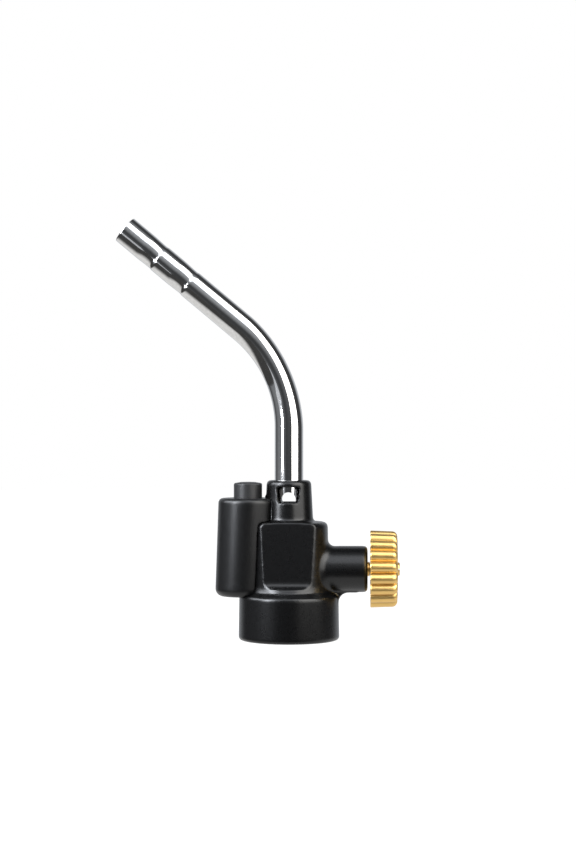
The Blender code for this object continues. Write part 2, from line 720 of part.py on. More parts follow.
def make_burner_tube(steel, root) -> None:
    """Make the bent burner tube with its crimps, air holes and lead hole."""
    stations = tube_stations()
    outside = [tube_ring(place, TUBE_RADIUS) for place in stations]
    inside = [tube_ring(place, TUBE_INNER_RADIUS) for place in reversed(stations)]
    tube = add_piece("burner_tube", loft(outside + inside, closed=True), steel, root)
    level = BLOCK_TOP + AIR_HOLE_RISE
    span = Vector((0.0, 2 * TUBE_RADIUS, 0.0))
    air_way = bar_between(AIR_HOLE_RADIUS, Vector((0.0, 0.0, level)) - span, Vector((0.0, 0.0, level)) + span)
    shape_with(tube, air_way, steel, root)
    shape_with(tube, lead_passage(), steel, root)


def make_swirl_insert(brass, tip) -> None:
    """Make the swirl insert: a bored hub with twisted vanes that the crimps hold."""
    bore = INSULATOR_RADIUS + CLEARANCE
    ends = (SWIRL_FROM_TIP, SWIRL_FROM_TIP + SWIRL_LENGTH)
    places = {ends[0], ends[1], (ends[0] + ends[1]) / 2}
    for crimp in CRIMP_FROM_TIP:
        offsets = (-CRIMP_LEAD_IN, 0.0, CRIMP_RETURN)
        places.update(crimp + offset for offset in offsets if ends[0] < crimp + offset < ends[1])
    hub_rings = []
    vane_rings = []
    for place in sorted(places):
        rim = TUBE_INNER_RADIUS - CLEARANCE - crimp_squeeze(place)
        twist = SWIRL_TWIST * (place - ends[0]) / SWIRL_LENGTH
        vane_rings.append(swirl_ring(place, rim, SWIRL_HUB_RADIUS, twist))
        hub_rings.append(swirl_ring(place, bore, bore, twist))
    add_piece("swirl_insert", loft(vane_rings + hub_rings[::-1], closed=True), brass, tip)


def swirl_ring(from_tip: float, rim: float, hub: float, twist: float) -> list:
    """Give one section of the swirl insert, with vanes that stand from the hub to the rim."""
    pitch = math.tau / SWIRL_VANES
    points = []
    for vane in range(SWIRL_VANES):
        for share, on_vane in SWIRL_STEPS:
            radius = rim if on_vane else hub
            angle = twist + pitch * (vane + SWIRL_VANE_SHARE * share)
            points.append((radius * math.cos(angle), radius * math.sin(angle), -from_tip))
    return points


def make_spark(ceramic, steel, tip) -> None:
    """Make the spark electrode in its ceramic insulator."""
    insulator_end = INSULATOR_FROM_TIP + INSULATOR_LENGTH
    insulator = ring(INSULATOR_BORE, INSULATOR_RADIUS, -insulator_end, -INSULATOR_FROM_TIP, SMALL_SEGMENTS)
    add_piece("electrode_insulator", insulator, ceramic, tip)
    electrode = rod(ELECTRODE_RADIUS, -insulator_end, -ELECTRODE_FROM_TIP, SMALL_SEGMENTS)
    add_piece("spark_electrode", electrode, steel, tip)


def lead_corners() -> list:
    """Give the foot, the knee and the mouth of the lead's way from the pod into the burner tube."""
    mouth_x = TUBE_INNER_RADIUS - LEAD_CHANNEL
    rise = (LEAD_RUN - mouth_x) * LEAD_SLOPE
    mouth = WINDOW_BOTTOM + LEAD_RADIUS
    return [
        Vector((-LEAD_RUN, 0.0, POD_FLOOR + CLEARANCE)),
        Vector((-LEAD_RUN, 0.0, mouth - rise)),
        Vector((-mouth_x, 0.0, mouth)),
    ]


def lead_passage():
    """Shape the slanted hole that takes the lead through the neck and the wall of the tube."""
    _, knee, mouth = lead_corners()
    along = (mouth - knee).normalized() * LEAD_CHANNEL
    return bar_between(LEAD_CHANNEL, knee - along, mouth + along)


def smooth_route(corners: list, parts: int) -> list:
    """Read points off a smooth curve through a row of corners."""
    padded = [2 * corners[0] - corners[1]] + corners + [2 * corners[-1] - corners[-2]]
    points = []
    for index in range(1, len(padded) - 2):
        before, here, after, later = padded[index - 1 : index + 3]
        for step in range(parts):
            t = step / parts
            curve = 2 * here + (after - before) * t
            curve += (2 * before - 5 * here + 4 * after - later) * t**2
            curve += (3 * here - before - 3 * after + later) * t**3
            points.append(curve / 2)
    points.append(corners[-1])
    return points


def make_lead(silicone, root) -> None:
    """Lay the ignition lead from the piezo terminal, up the pod and along the tube to the electrode."""
    foot, knee, mouth = lead_corners()
    terminal = Vector((-IGNITER_OFFSET + CASE_BORE, 0.0, TERMINAL_BOTTOM + LEAD_RADIUS))
    turn = foot.x - terminal.x
    corners = [terminal]
    corners += [terminal + Vector((turn * across, 0.0, turn * up)) for across, up in LEAD_BEND]
    corners.append((terminal + knee) / 2 + Vector((turn / 2, 0.0, 0.0)))
    corners.append(knee - Vector((0.0, 0.0, LEAD_CHANNEL)))
    corners += [knee.lerp(mouth, share) for share in LEAD_PASSAGE_ENDS]
    side = TUBE_INNER_RADIUS - LEAD_CHANNEL
    start = mouth.z + 2 * LEAD_CHANNEL - TUBE_BOTTOM
    end = tube_length() - INSULATOR_FROM_TIP - INSULATOR_LENGTH - CLEARANCE
    bend_end = tube_length() - TIP_LENGTH
    for step in range(LEAD_TUBE_RUNS + 1):
        distance = start + (end - start) * step / LEAD_TUBE_RUNS
        share = min(max((distance - bend_end) / (end - bend_end), 0.0), 1.0)
        offset = side * (1 - share * share * (3 - 2 * share))
        centre, angle = along_tube(distance)
        corners.append(centre - Vector((math.cos(angle), 0.0, math.sin(angle))) * offset)
    add_wire("ignition_lead", smooth_route(corners, 2), LEAD_RADIUS, silicone, root)


def make_pod(plastic, root) -> None:
    """Mould the igniter pod: a leaning shell cut back where it meets the body."""
    lean = Matrix.Translation((-POD_OFFSET, 0.0, 0.0))
    lean[0][2] = (POD_OFFSET - POD_TOP_OFFSET) / POD_HEIGHT
    lean[0][3] -= lean[0][2] * POD_BOTTOM
    outside = rounded(
        [
            (0.0, POD_BOTTOM, 0.0),
            (POD_LOW_RADIUS, POD_BOTTOM, POD_LOW_ROUND),
            (POD_TOP_RADIUS, POD_TOP, POD_TOP_ROUND),
            (0.0, POD_TOP, 0.0),
        ]
    )
    shell = lathe(outside, BODY_SEGMENTS)
    bmesh.ops.transform(shell, matrix=lean, verts=shell.verts)
    pod = add_piece("igniter_pod", shell, plastic, root)
    hollow = rounded(
        [
            (0.0, POD_FLOOR, 0.0),
            (POD_LOW_RADIUS - POD_WALL, POD_FLOOR, POD_LOW_ROUND - POD_WALL),
            (POD_TOP_RADIUS - POD_WALL, POD_CEILING, 0.0),
            (0.0, POD_CEILING, 0.0),
        ]
    )
    inside = lathe(hollow, BODY_SEGMENTS)
    bmesh.ops.transform(inside, matrix=lean, verts=inside.verts)
    shape_with(pod, inside, plastic, root)
    hole = rod(BUTTON_RADIUS + CLEARANCE, POD_CEILING - POD_WALL, POD_TOP + POD_WALL, ROUND_SEGMENTS)
    turn_half_facet(hole, ROUND_SEGMENTS)
    bmesh.ops.translate(hole, verts=hole.verts, vec=(-IGNITER_OFFSET, 0.0, 0.0))
    shape_with(pod, hole, plastic, root)
    envelope = [(0.0, NECK_TOP, 0.0)] + body_outline(SEAM)
    envelope += [(COLLAR_RADIUS + SEAM, 0.0, 0.0), (0.0, 0.0, 0.0)]
    shape_with(pod, lathe(rounded(envelope), BODY_SEGMENTS), plastic, root)


def make_button(grey, plastic, steel, igniter) -> None:
    """Make the push button, the plunger that it caps and the spring that returns them."""
    shoulder = BUTTON_TOP - BUTTON_CROWN
    cap = rounded(
        [
            (0.0, BUTTON_TOP - BUTTON_ROOF, 0.0),
            (BUTTON_SOCKET, BUTTON_TOP - BUTTON_ROOF, 0.0),
            (BUTTON_SOCKET, BUTTON_BOTTOM, 0.0),
            (BUTTON_RADIUS, BUTTON_BOTTOM, 0.0),
            (BUTTON_RADIUS, shoulder, BUTTON_EDGE_ROUND),
            (BUTTON_RADIUS / 2, BUTTON_TOP - BUTTON_CROWN / 4, 0.0),
            (0.0, BUTTON_TOP, 0.0),
        ]
    )
    add_piece("igniter_button", lathe(cap, ROUND_SEGMENTS), grey, igniter)
    plunger = [
        (0.0, PLUNGER_CEILING),
        (PLUNGER_BORE, PLUNGER_CEILING),
        (PLUNGER_BORE, PLUNGER_BOTTOM),
        (PLUNGER_RADIUS, PLUNGER_BOTTOM),
        (PLUNGER_RADIUS, PLUNGER_TOP),
        (0.0, PLUNGER_TOP),
    ]
    add_piece("piezo_plunger", lathe(plunger, SMALL_SEGMENTS), plastic, igniter)
    middle = (PLUNGER_RADIUS + BUTTON_RADIUS) / 2
    low = CASE_TOP + CLEARANCE
    high = BUTTON_BOTTOM - CLEARANCE
    turns = RETURN_SPRING_TURNS
    add_spring("button_return_spring", middle, RETURN_SPRING_WIRE, low, high, turns, steel, igniter)


def make_piezo(plastic, ceramic, brass, steel, igniter) -> None:
    """Make the piezo unit: case, terminal, crystal, anvil, hammer and hammer spring."""
    case = [
        (0.0, CASE_BOTTOM),
        (CASE_RADIUS, CASE_BOTTOM),
        (CASE_RADIUS, CASE_TOP),
        (CASE_BORE, CASE_TOP),
        (CASE_BORE, CASE_BOTTOM + CASE_WALL),
        (0.0, CASE_BOTTOM + CASE_WALL),
    ]
    shell = add_piece("piezo_case", lathe(case, ROUND_SEGMENTS), plastic, igniter)
    low = CASE_BOTTOM + CASE_WALL
    high = low + 3 * CASE_WALL
    outline = [
        (CASE_BORE - CLEARANCE, low),
        (CASE_RADIUS + CASE_WALL, low),
        (CASE_RADIUS + CASE_WALL, high),
        (CASE_BORE - CLEARANCE, high),
    ]
    notch = slab(outline, lambda x, z: (x, 0.0, z), 2 * LEAD_CHANNEL, Vector((0.0, 1.0, 0.0)))
    shape_with(shell, notch, plastic, igniter)
    add_piece("piezo_terminal", rod(STACK_RADIUS, TERMINAL_BOTTOM, TERMINAL_TOP), brass, igniter)
    add_piece("piezo_crystal", rod(STACK_RADIUS, CRYSTAL_BOTTOM, CRYSTAL_TOP), ceramic, igniter)
    add_piece("piezo_anvil", rod(STACK_RADIUS, ANVIL_BOTTOM, ANVIL_TOP), steel, igniter)
    add_piece("piezo_hammer", rod(HAMMER_RADIUS, HAMMER_BOTTOM, HAMMER_TOP), steel, igniter)
    middle = HAMMER_RADIUS - 2 * HAMMER_SPRING_WIRE
    low = HAMMER_TOP + CLEARANCE
    high = PLUNGER_CEILING - CLEARANCE
    add_spring("hammer_spring", middle, HAMMER_SPRING_WIRE, low, high, HAMMER_SPRING_TURNS, steel, igniter)


def make_valve(brass, rubber, packing, valve) -> None:
    """Make the valve seat, needle, stem, O-ring, packing and gland nut along the valve axis."""
    cone_foot = SEAT_FACE + SEAT_CONE_DEPTH
    seat = [
        (SEAT_HOLE_RADIUS, -SEAT_BACK),
        (SEAT_RADIUS, -SEAT_BACK),
        (SEAT_RADIUS, -SEAT_FACE),
        (SEAT_HOLE_RADIUS + SEAT_CONE_DEPTH, -SEAT_FACE),
        (SEAT_HOLE_RADIUS, -cone_foot),
    ]
    add_piece("valve_seat", lathe(seat, SMALL_SEGMENTS, closed=True), brass, valve)
    back_off = SEAT_CLEARANCE * math.sqrt(2)
    needle = [
        (0.0, NEEDLE_TIP_RADIUS - SEAT_HOLE_RADIUS - cone_foot + back_off),
        (NEEDLE_TIP_RADIUS, NEEDLE_TIP_RADIUS - SEAT_HOLE_RADIUS - cone_foot + back_off),
        (NEEDLE_RADIUS, NEEDLE_RADIUS - SEAT_HOLE_RADIUS - cone_foot + back_off),
        (NEEDLE_RADIUS, NEEDLE_END),
        (0.0, NEEDLE_END),
    ]
    add_piece("valve_needle", lathe(needle, SMALL_SEGMENTS), brass, valve)
    half_groove = O_RING_THICKNESS / 2 + CLEARANCE
    stem = [
        (0.0, NEEDLE_END + CLEARANCE),
        (STEM_HOLE, NEEDLE_END + CLEARANCE),
        (STEM_HOLE, STEM_START),
        (STEM_RADIUS, STEM_START),
        (STEM_RADIUS, O_RING_PLACE - half_groove),
        (O_RING_GROOVE, O_RING_PLACE - half_groove),
        (O_RING_GROOVE, O_RING_PLACE + half_groove),
        (STEM_RADIUS, O_RING_PLACE + half_groove),
        (STEM_RADIUS, STEM_SHOULDER),
        (KNOB_SEAT_RADIUS, STEM_SHOULDER),
        (KNOB_SEAT_RADIUS, STEM_END),
        (SCREW_HOLE, STEM_END),
        (SCREW_HOLE, SCREW_TIP - CLEARANCE),
        (0.0, SCREW_TIP - CLEARANCE),
    ]
    add_piece("valve_stem", lathe(stem, ROUND_SEGMENTS), brass, valve)
    middle = STEM_BORE_RADIUS - CLEARANCE - O_RING_THICKNESS / 2
    section = []
    for index in range(2 * ARC_STEPS + 2):
        angle = math.tau * index / (2 * ARC_STEPS + 2)
        across = O_RING_THICKNESS / 2 * math.cos(angle)
        section.append((middle + across, O_RING_PLACE + O_RING_THICKNESS / 2 * math.sin(angle)))
    add_piece("stem_o_ring", lathe(section, SMALL_SEGMENTS, closed=True), rubber, valve)
    packing_ring = ring(STEM_PASSAGE, STEM_BORE_RADIUS - CLEARANCE, PACKING_END - PACKING_LENGTH, PACKING_END)
    add_piece("gland_packing", packing_ring, packing, valve)
    gland = add_piece("gland_nut", ring(STEM_PASSAGE, GLAND_RADIUS, GLAND_START, GLAND_END), brass, valve)
    shape_with(gland, slot_cutter(GLAND_SLOT_WIDTH, GLAND_SLOT_DEPTH, GLAND_END, GLAND_RADIUS), brass, valve)


def slot_cutter(width: float, depth: float, end: float, radius: float):
    """Shape the tool that cuts a driver slot across an end face."""
    half = width / 2
    outline = [(-half, end - depth), (half, end - depth), (half, end + depth), (-half, end + depth)]
    return slab(outline, lambda x, z: (x, 0.0, z), 3 * radius, Vector((0.0, 1.0, 0.0)))


def knob_ring(radius: float, height: float) -> list:
    """Give one fluted ring of the knob, with flat ridges and narrow grooves."""
    shares = [-share for share in KNOB_FLUTE_SHAPE[:-1]] + list(KNOB_FLUTE_SHAPE[:0:-1])
    groove = KNOB_FLUTE_SHAPE[0]
    flat = KNOB_FLUTE_SHAPE[2]
    points = []
    for flute in range(KNOB_FLUTES):
        for share in shares:
            fall = max((abs(share) - flat) / (groove - flat), 0.0)
            reach = radius - KNOB_FLUTE_DEPTH * fall * fall
            angle = KNOB_FLUTE_PHASE - math.pi / 2 + math.tau * (flute + share) / KNOB_FLUTES
            points.append((reach * math.cos(angle), reach * math.sin(angle), height))
    return points


def make_knob(polished, brass, valve) -> None:
    """Make the fluted control knob and the slotted screw that holds it on the stem."""
    edge = rounded(
        [
            (KNOB_RADIUS, KNOB_START, 0.0),
            (KNOB_RADIUS - KNOB_DRAFT, KNOB_END, KNOB_EDGE_ROUND),
            (0.0, KNOB_END, 0.0),
        ]
    )
    rings = [knob_ring(radius, height) for radius, height in edge[:-1]]
    knob = add_piece("control_knob", loft(rings), polished, valve)
    bore = [
        (0.0, KNOB_START - KNOB_GAP / 2),
        (KNOB_SEAT_RADIUS + CLEARANCE, KNOB_START - KNOB_GAP / 2),
        (KNOB_SEAT_RADIUS + CLEARANCE, KNOB_BORE_END),
        (SCREW_HOLE, KNOB_BORE_END),
        (SCREW_HOLE, SCREW_SEAT),
        (SCREW_HEAD_RADIUS + CLEARANCE, SCREW_SEAT),
        (SCREW_HEAD_RADIUS + CLEARANCE, KNOB_END + SCREW_HEAD_SINK),
        (0.0, KNOB_END + SCREW_HEAD_SINK),
    ]
    shape_with(knob, lathe(bore, ROUND_SEGMENTS), polished, valve)
    head_end = SCREW_UNDER_HEAD + SCREW_HEAD_HEIGHT
    screw = [
        (0.0, SCREW_TIP),
        (SCREW_RADIUS, SCREW_TIP),
        (SCREW_RADIUS, SCREW_UNDER_HEAD),
        (SCREW_HEAD_RADIUS, SCREW_UNDER_HEAD),
        (SCREW_HEAD_RADIUS, head_end),
        (0.0, head_end),
    ]
    fastener = add_piece("knob_screw", lathe(screw, ROUND_SEGMENTS), brass, valve)
    slot = slot_cutter(SCREW_SLOT_WIDTH, SCREW_SLOT_DEPTH, head_end, SCREW_HEAD_RADIUS)
    shape_with(fastener, slot, brass, valve)


def main() -> None:
    """Build the torch from its finishes, its axes and its pieces."""
    clear_scene()
    black = finish("black_enamel", (0.012, 0.012, 0.013), 0.38, 0.0)
    plastic = finish("black_plastic", (0.014, 0.014, 0.015), 0.45, 0.0)
    grey = finish("grey_plastic", (0.08, 0.08, 0.085), 0.55, 0.0)
    white = finish("white_plastic", (0.72, 0.70, 0.66), 0.5, 0.0)
    steel = finish("polished_steel", (0.62, 0.61, 0.60), 0.12, 1.0)
    bare_steel = finish("bare_steel", (0.42, 0.42, 0.43), 0.3, 1.0)
    brass = finish("machined_brass", (0.78, 0.57, 0.24), 0.3, 1.0)
    knob_brass = finish("polished_brass", (0.83, 0.60, 0.23), 0.2, 1.0)
    bronze = finish("sintered_bronze", (0.45, 0.30, 0.16), 0.7, 1.0)
    rubber = finish("black_rubber", (0.02, 0.02, 0.02), 0.8, 0.0)
    ceramic = finish("white_ceramic", (0.80, 0.79, 0.76), 0.35, 0.0)
    silicone = finish("red_silicone", (0.35, 0.05, 0.03), 0.55, 0.0)
    root = add_empty("torch")
    valve = add_empty("valve_axis", root, (0.0, 0.0, VALVE_Z), math.pi / 2)
    igniter = add_empty("igniter_axis", root, (-IGNITER_OFFSET, 0.0, 0.0))
    tip_centre, tip_turn = along_tube(tube_length())
    tip = add_empty("burner_tip", root, tip_centre, -tip_turn)
    make_body(black, root, valve)
    make_inlet(brass, rubber, bronze, root)
    make_jet(brass, root)
    make_burner_tube(steel, root)
    make_swirl_insert(brass, tip)
    make_spark(ceramic, bare_steel, tip)
    make_pod(plastic, root)
    make_button(grey, white, bare_steel, igniter)
    make_piezo(plastic, ceramic, brass, bare_steel, igniter)
    make_lead(silicone, root)
    make_valve(brass, rubber, white, valve)
    make_knob(knob_brass, brass, valve)


main()
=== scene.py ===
"""Looks for a hand gas torch: smooth casting, bent steel tube, fluted brass knob and igniter pod.

Lengths are in metres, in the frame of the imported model: +Z is up, the valve knob points to +X, the
igniter pod sits at -X and the front is at -Y.
"""

import logging
import math
from dataclasses import dataclass
from enum import Enum
from typing import Callable, Iterable, Sequence, Union

import bmesh
import bpy
from bmesh.types import BMEdge, BMesh, BMVert
from mathutils import Matrix, Vector


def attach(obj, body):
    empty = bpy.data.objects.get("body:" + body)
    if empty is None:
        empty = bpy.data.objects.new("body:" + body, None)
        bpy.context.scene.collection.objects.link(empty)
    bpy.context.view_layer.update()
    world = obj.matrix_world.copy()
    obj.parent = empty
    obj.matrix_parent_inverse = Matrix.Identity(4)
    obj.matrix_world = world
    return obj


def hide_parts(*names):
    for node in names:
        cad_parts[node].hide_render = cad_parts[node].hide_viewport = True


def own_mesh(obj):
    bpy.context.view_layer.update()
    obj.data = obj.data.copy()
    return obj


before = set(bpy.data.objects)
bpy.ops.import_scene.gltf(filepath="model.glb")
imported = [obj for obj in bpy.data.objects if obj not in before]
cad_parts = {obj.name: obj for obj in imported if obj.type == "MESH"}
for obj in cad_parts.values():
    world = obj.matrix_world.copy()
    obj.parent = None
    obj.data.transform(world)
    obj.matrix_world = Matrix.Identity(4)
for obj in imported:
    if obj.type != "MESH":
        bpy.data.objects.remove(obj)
LOG = logging.getLogger("torch")

Colour = tuple[float, float, float]
Corner = tuple[float, float, float]
Value = Union["Wire", float, Colour]

ORIGIN = (0.0, 0.0, 0.0)
AXIS_Z = (0.0, 0.0, 1.0)
BLACK: Colour = (0.0, 0.0, 0.0)
WHITE: Colour = (1.0, 1.0, 1.0)
COOL: Colour = (0.90, 0.935, 1.0)
WARM: Colour = (1.0, 0.985, 0.96)
ROOM_TINT: Colour = (0.94, 0.98, 1.04)

WELD = 0.000001
CRISP = math.radians(30)
SHARP = math.radians(38)
SOFT = math.radians(80)

UNMOVED = Matrix.Identity(4)
VALVE_LEVEL = 0.02965
VALVE_PLACE = Matrix.Translation((0.0, 0.0, VALVE_LEVEL)) @ Matrix.Rotation(math.pi / 2, 4, "Y")
LEAD_HOLE = 0.0010
LEAD_FOOT = Vector((-0.01024, 0.0, 0.0201))
LEAD_KNEE = Vector((-0.01024, 0.0, 0.05005))
LEAD_END = Vector((-0.0036, 0.0, 0.0589))
SPRING_ENDS: dict[str, float] = {"button_return_spring": 0.0399, "hammer_spring": 0.0373}


class Body(Enum):
    """The moving bodies of the torch."""

    TORCH = "torch"
    KNOB = "knob"
    BUTTON = "button"


class Slot(Enum):
    """The finishes that the record names."""

    ENAMEL = "black_enamel"
    MACHINED_BRASS = "machined_brass"
    POLISHED_BRASS = "polished_brass"
    POLISHED_STEEL = "polished_steel"
    BARE_STEEL = "bare_steel"
    BRONZE = "sintered_bronze"
    RUBBER = "black_rubber"
    BLACK_PLASTIC = "black_plastic"
    GREY_PLASTIC = "grey_plastic"
    WHITE_PLASTIC = "white_plastic"
    CERAMIC = "white_ceramic"
    SILICONE = "red_silicone"


class Cut(Enum):
    """How one shape acts on another."""

    AWAY = "DIFFERENCE"
    JOIN = "UNION"

    def by(self, *shapes: BMesh) -> list[tuple["Cut", BMesh]]:
        """Pair each shape with this way to act."""
        return [(self, shape) for shape in shapes]


class Wire:
    """A socket that takes part in sums, where each operator adds a Math node."""

    def __init__(self, net: "Net", socket: bpy.types.NodeSocket) -> None:
        """Hold the socket and the net that it belongs to."""
        self.net = net
        self.socket = socket

    def _math(self, operation: str, first: Value, second: Value) -> "Wire":
        """Add one Math node on two values."""
        return self.net.node("ShaderNodeMath", {"operation": operation}, {0: first, 1: second})

    def __add__(self, other: Value) -> "Wire":
        """Add a value."""
        return self._math("ADD", self, other)

    def __radd__(self, other: Value) -> "Wire":
        """Add to a value."""
        return self._math("ADD", other, self)

    def __sub__(self, other: Value) -> "Wire":
        """Take a value away."""
        return self._math("SUBTRACT", self, other)

    def __mul__(self, other: Value) -> "Wire":
        """Multiply by a value."""
        return self._math("MULTIPLY", self, other)


class Net:
    """The node net of one material."""

    def __init__(self, name: str) -> None:
        """Start an empty net with the piece's own coordinates."""
        self.material = bpy.data.materials.new(name)
        self.material.use_nodes = True
        self.tree = self.material.node_tree
        self.tree.nodes.clear()
        self.place = self.node("ShaderNodeTexCoord", {}, {}, "Object")

    def node(self, kind: str, settings: dict, inputs: dict, out: Union[int, str] = 0) -> Wire:
        """Add one node.

        Args:
            kind: The node's type name.
            settings: Its settings, which are set first.
            inputs: Values or wires for its sockets, by name or number.
            out: The output that is wanted, by name or number.

        Returns:
            The wanted output.
        """
        made = self.tree.nodes.new(kind)
        for key, value in settings.items():
            setattr(made, key, value)
        for key, value in inputs.items():
            if isinstance(value, Wire):
                self.tree.links.new(value.socket, made.inputs[key])
            else:
                made.inputs[key].default_value = value
        return Wire(self, made.outputs[out])

    def vector(self, operation: str, inputs: dict, out: str) -> Wire:
        """Add one Vector Math node."""
        return self.node("ShaderNodeVectorMath", {"operation": operation}, inputs, out)

    def along(self, axis: str) -> Wire:
        """Give the piece's own coordinate along an axis."""
        return self.node("ShaderNodeSeparateXYZ", {}, {"Vector": self.place}, axis)

    def noise(self, size: float, detail: float, stretch: tuple = WHITE) -> Wire:
        """Add a soft random pattern from 0 to 1, of blots about size across before the stretch."""
        place = self.node("ShaderNodeMapping", {}, {"Vector": self.place, "Scale": stretch}, "Vector")
        return self.node("ShaderNodeTexNoise", {}, {"Vector": place, "Scale": 1 / size, "Detail": detail})

    def mix(self, share: Value, first: Colour, second: Colour) -> Wire:
        """Mix two colours by a share."""
        inputs = {0: share, 6: (*first, 1.0), 7: (*second, 1.0)}
        return self.node("ShaderNodeMix", {"data_type": "RGBA"}, inputs, 2)

    def band(self, value: Wire, low: float, high: float) -> Wire:
        """Turn a value into a smooth step from 0 at low to 1 at high."""
        settings = {"interpolation_type": "SMOOTHSTEP"}
        return self.node("ShaderNodeMapRange", settings, {"Value": value, "From Min": low, "From Max": high})

    def finished(self, kind: str, inputs: dict) -> bpy.types.Material:
        """Close the net with its shader and output.

        Args:
            kind: The shader's type name.
            inputs: Values or wires of the shader's sockets.

        Returns:
            The finished material.
        """
        shader = self.node(kind, {}, inputs)
        output = self.tree.nodes.new("ShaderNodeOutputMaterial")
        self.tree.links.new(shader.socket, output.inputs["Surface"])
        return self.material


@dataclass(frozen=True)
class Finish:
    """A surface with its colour, gloss and fine relief.

    Attributes:
        slot: The record's finish that it shows.
        colour: Its middle colour.
        mottle: How far the colour strays, as a share.
        mottle_size: The size of the colour's blots.
        roughness: Its middle roughness.
        spread: How far the roughness strays.
        grain_size: The size of the relief's bumps.
        grain_depth: The height of the relief.
        metallic: 1 for a metal.
        specular: The strength of the mirror light on what isn't a metal.
    """

    slot: Slot
    colour: Colour
    mottle: float = 0.12
    mottle_size: float = 0.004
    roughness: float = 0.4
    spread: float = 0.06
    grain_size: float = 0.0004
    grain_depth: float = 0.000004
    metallic: float = 0.0
    specular: float = 0.5

    def shade(self, share: float) -> Colour:
        """Give the colour, lighter or darker by a share."""
        return tuple(part * share for part in self.colour)

    def relief(self, net: Net) -> Wire:
        """Give the height of the fine relief."""
        return net.noise(self.grain_size, 2.0)

    def gloss(self, net: Net) -> Wire:
        """Give the pattern of the roughness, round 0."""
        return net.noise(self.mottle_size / 2, 3.0) - 0.5

    def make(self) -> bpy.types.Material:
        """Make the material.

        Returns:
            The finished material.
        """
        net = Net(self.slot.value + "_finish")
        tone = net.noise(self.mottle_size, 4.0)
        bump = {"Height": self.relief(net), "Distance": self.grain_depth, "Strength": 1.0}
        inputs = {
            "Base Color": net.mix(tone, self.shade(1 - self.mottle), self.shade(1 + self.mottle)),
            "Roughness": self.gloss(net) * (2 * self.spread) + self.roughness,
            "Metallic": self.metallic,
            "Specular IOR Level": self.specular,
            "Normal": net.node("ShaderNodeBump", {}, bump),
        }
        return net.finished("ShaderNodeBsdfPrincipled", inputs)


@dataclass(frozen=True)
class Enamel(Finish):
    """Stoved enamel or moulded plastic, with a soft peel and a finer grain.

    Attributes:
        peel_size: The size of the peel's waves.
        peel_share: How much of the relief is peel.
    """

    peel_size: float = 0.0014
    peel_share: float = 0.6

    def relief(self, net: Net) -> Wire:
        """Give the peel with the grain on it."""
        fine = net.noise(self.grain_size, 2.0) * (1 - self.peel_share)
        return net.noise(self.peel_size, 1.0) * self.peel_share + fine


@dataclass(frozen=True)
class TurnedMetal(Finish):
    """Metal with the fine lines that a lathe leaves round the Z axis.

    Attributes:
        line_size: The usual width of a line.
        line_share: How much of the relief and of the gloss is lines.
    """

    line_size: float = 0.00025
    line_share: float = 0.7

    def marks(self, net: Net) -> Wire:
        """Give the lines, over end faces and round sides alike."""
        flat = net.vector("MULTIPLY", {0: net.place, 1: (1.0, 1.0, 0.0)}, "Vector")
        along = net.vector("LENGTH", {0: flat}, "Value") + net.along("Z")
        inputs = {"W": along * (1 / self.line_size), "Scale": 1.0, "Detail": 4.0}
        return net.node("ShaderNodeTexNoise", {"noise_dimensions": "1D"}, inputs)

    def relief(self, net: Net) -> Wire:
        """Give the lines with a fine grain on them."""
        return self.marks(net) * self.line_share + net.noise(self.grain_size, 2.0) * (1 - self.line_share)

    def gloss(self, net: Net) -> Wire:
        """Give the roughness, which follows the lines."""
        wear = net.noise(self.mottle_size, 3.0) * (1 - self.line_share)
        return self.marks(net) * self.line_share + wear - 0.5


@dataclass(frozen=True)
class DrawnMetal(TurnedMetal):
    """Metal with the fine straight lines that drawing leaves along X.

    Attributes:
        line_stretch: How much longer a line is than wide.
    """

    line_size: float = 0.0003
    line_share: float = 0.85
    line_stretch: float = 40.0

    def marks(self, net: Net) -> Wire:
        """Give the straight lines."""
        return net.noise(self.line_size, 3.0, (1 / self.line_stretch, 1.0, 1.0))


@dataclass(frozen=True)
class PolishedTube(Finish):
    """Polished steel with faint buffing streaks.

    Attributes:
        streak_size: The width of a streak.
        streak_stretch: How much longer a streak is than wide.
    """

    streak_size: float = 0.0009
    streak_stretch: float = 9.0

    def gloss(self, net: Net) -> Wire:
        """Give the streaks that buffing leaves round the tube."""
        return net.noise(self.streak_size, 2.0, (1.0, 1 / self.streak_stretch, 1.0)) - 0.5


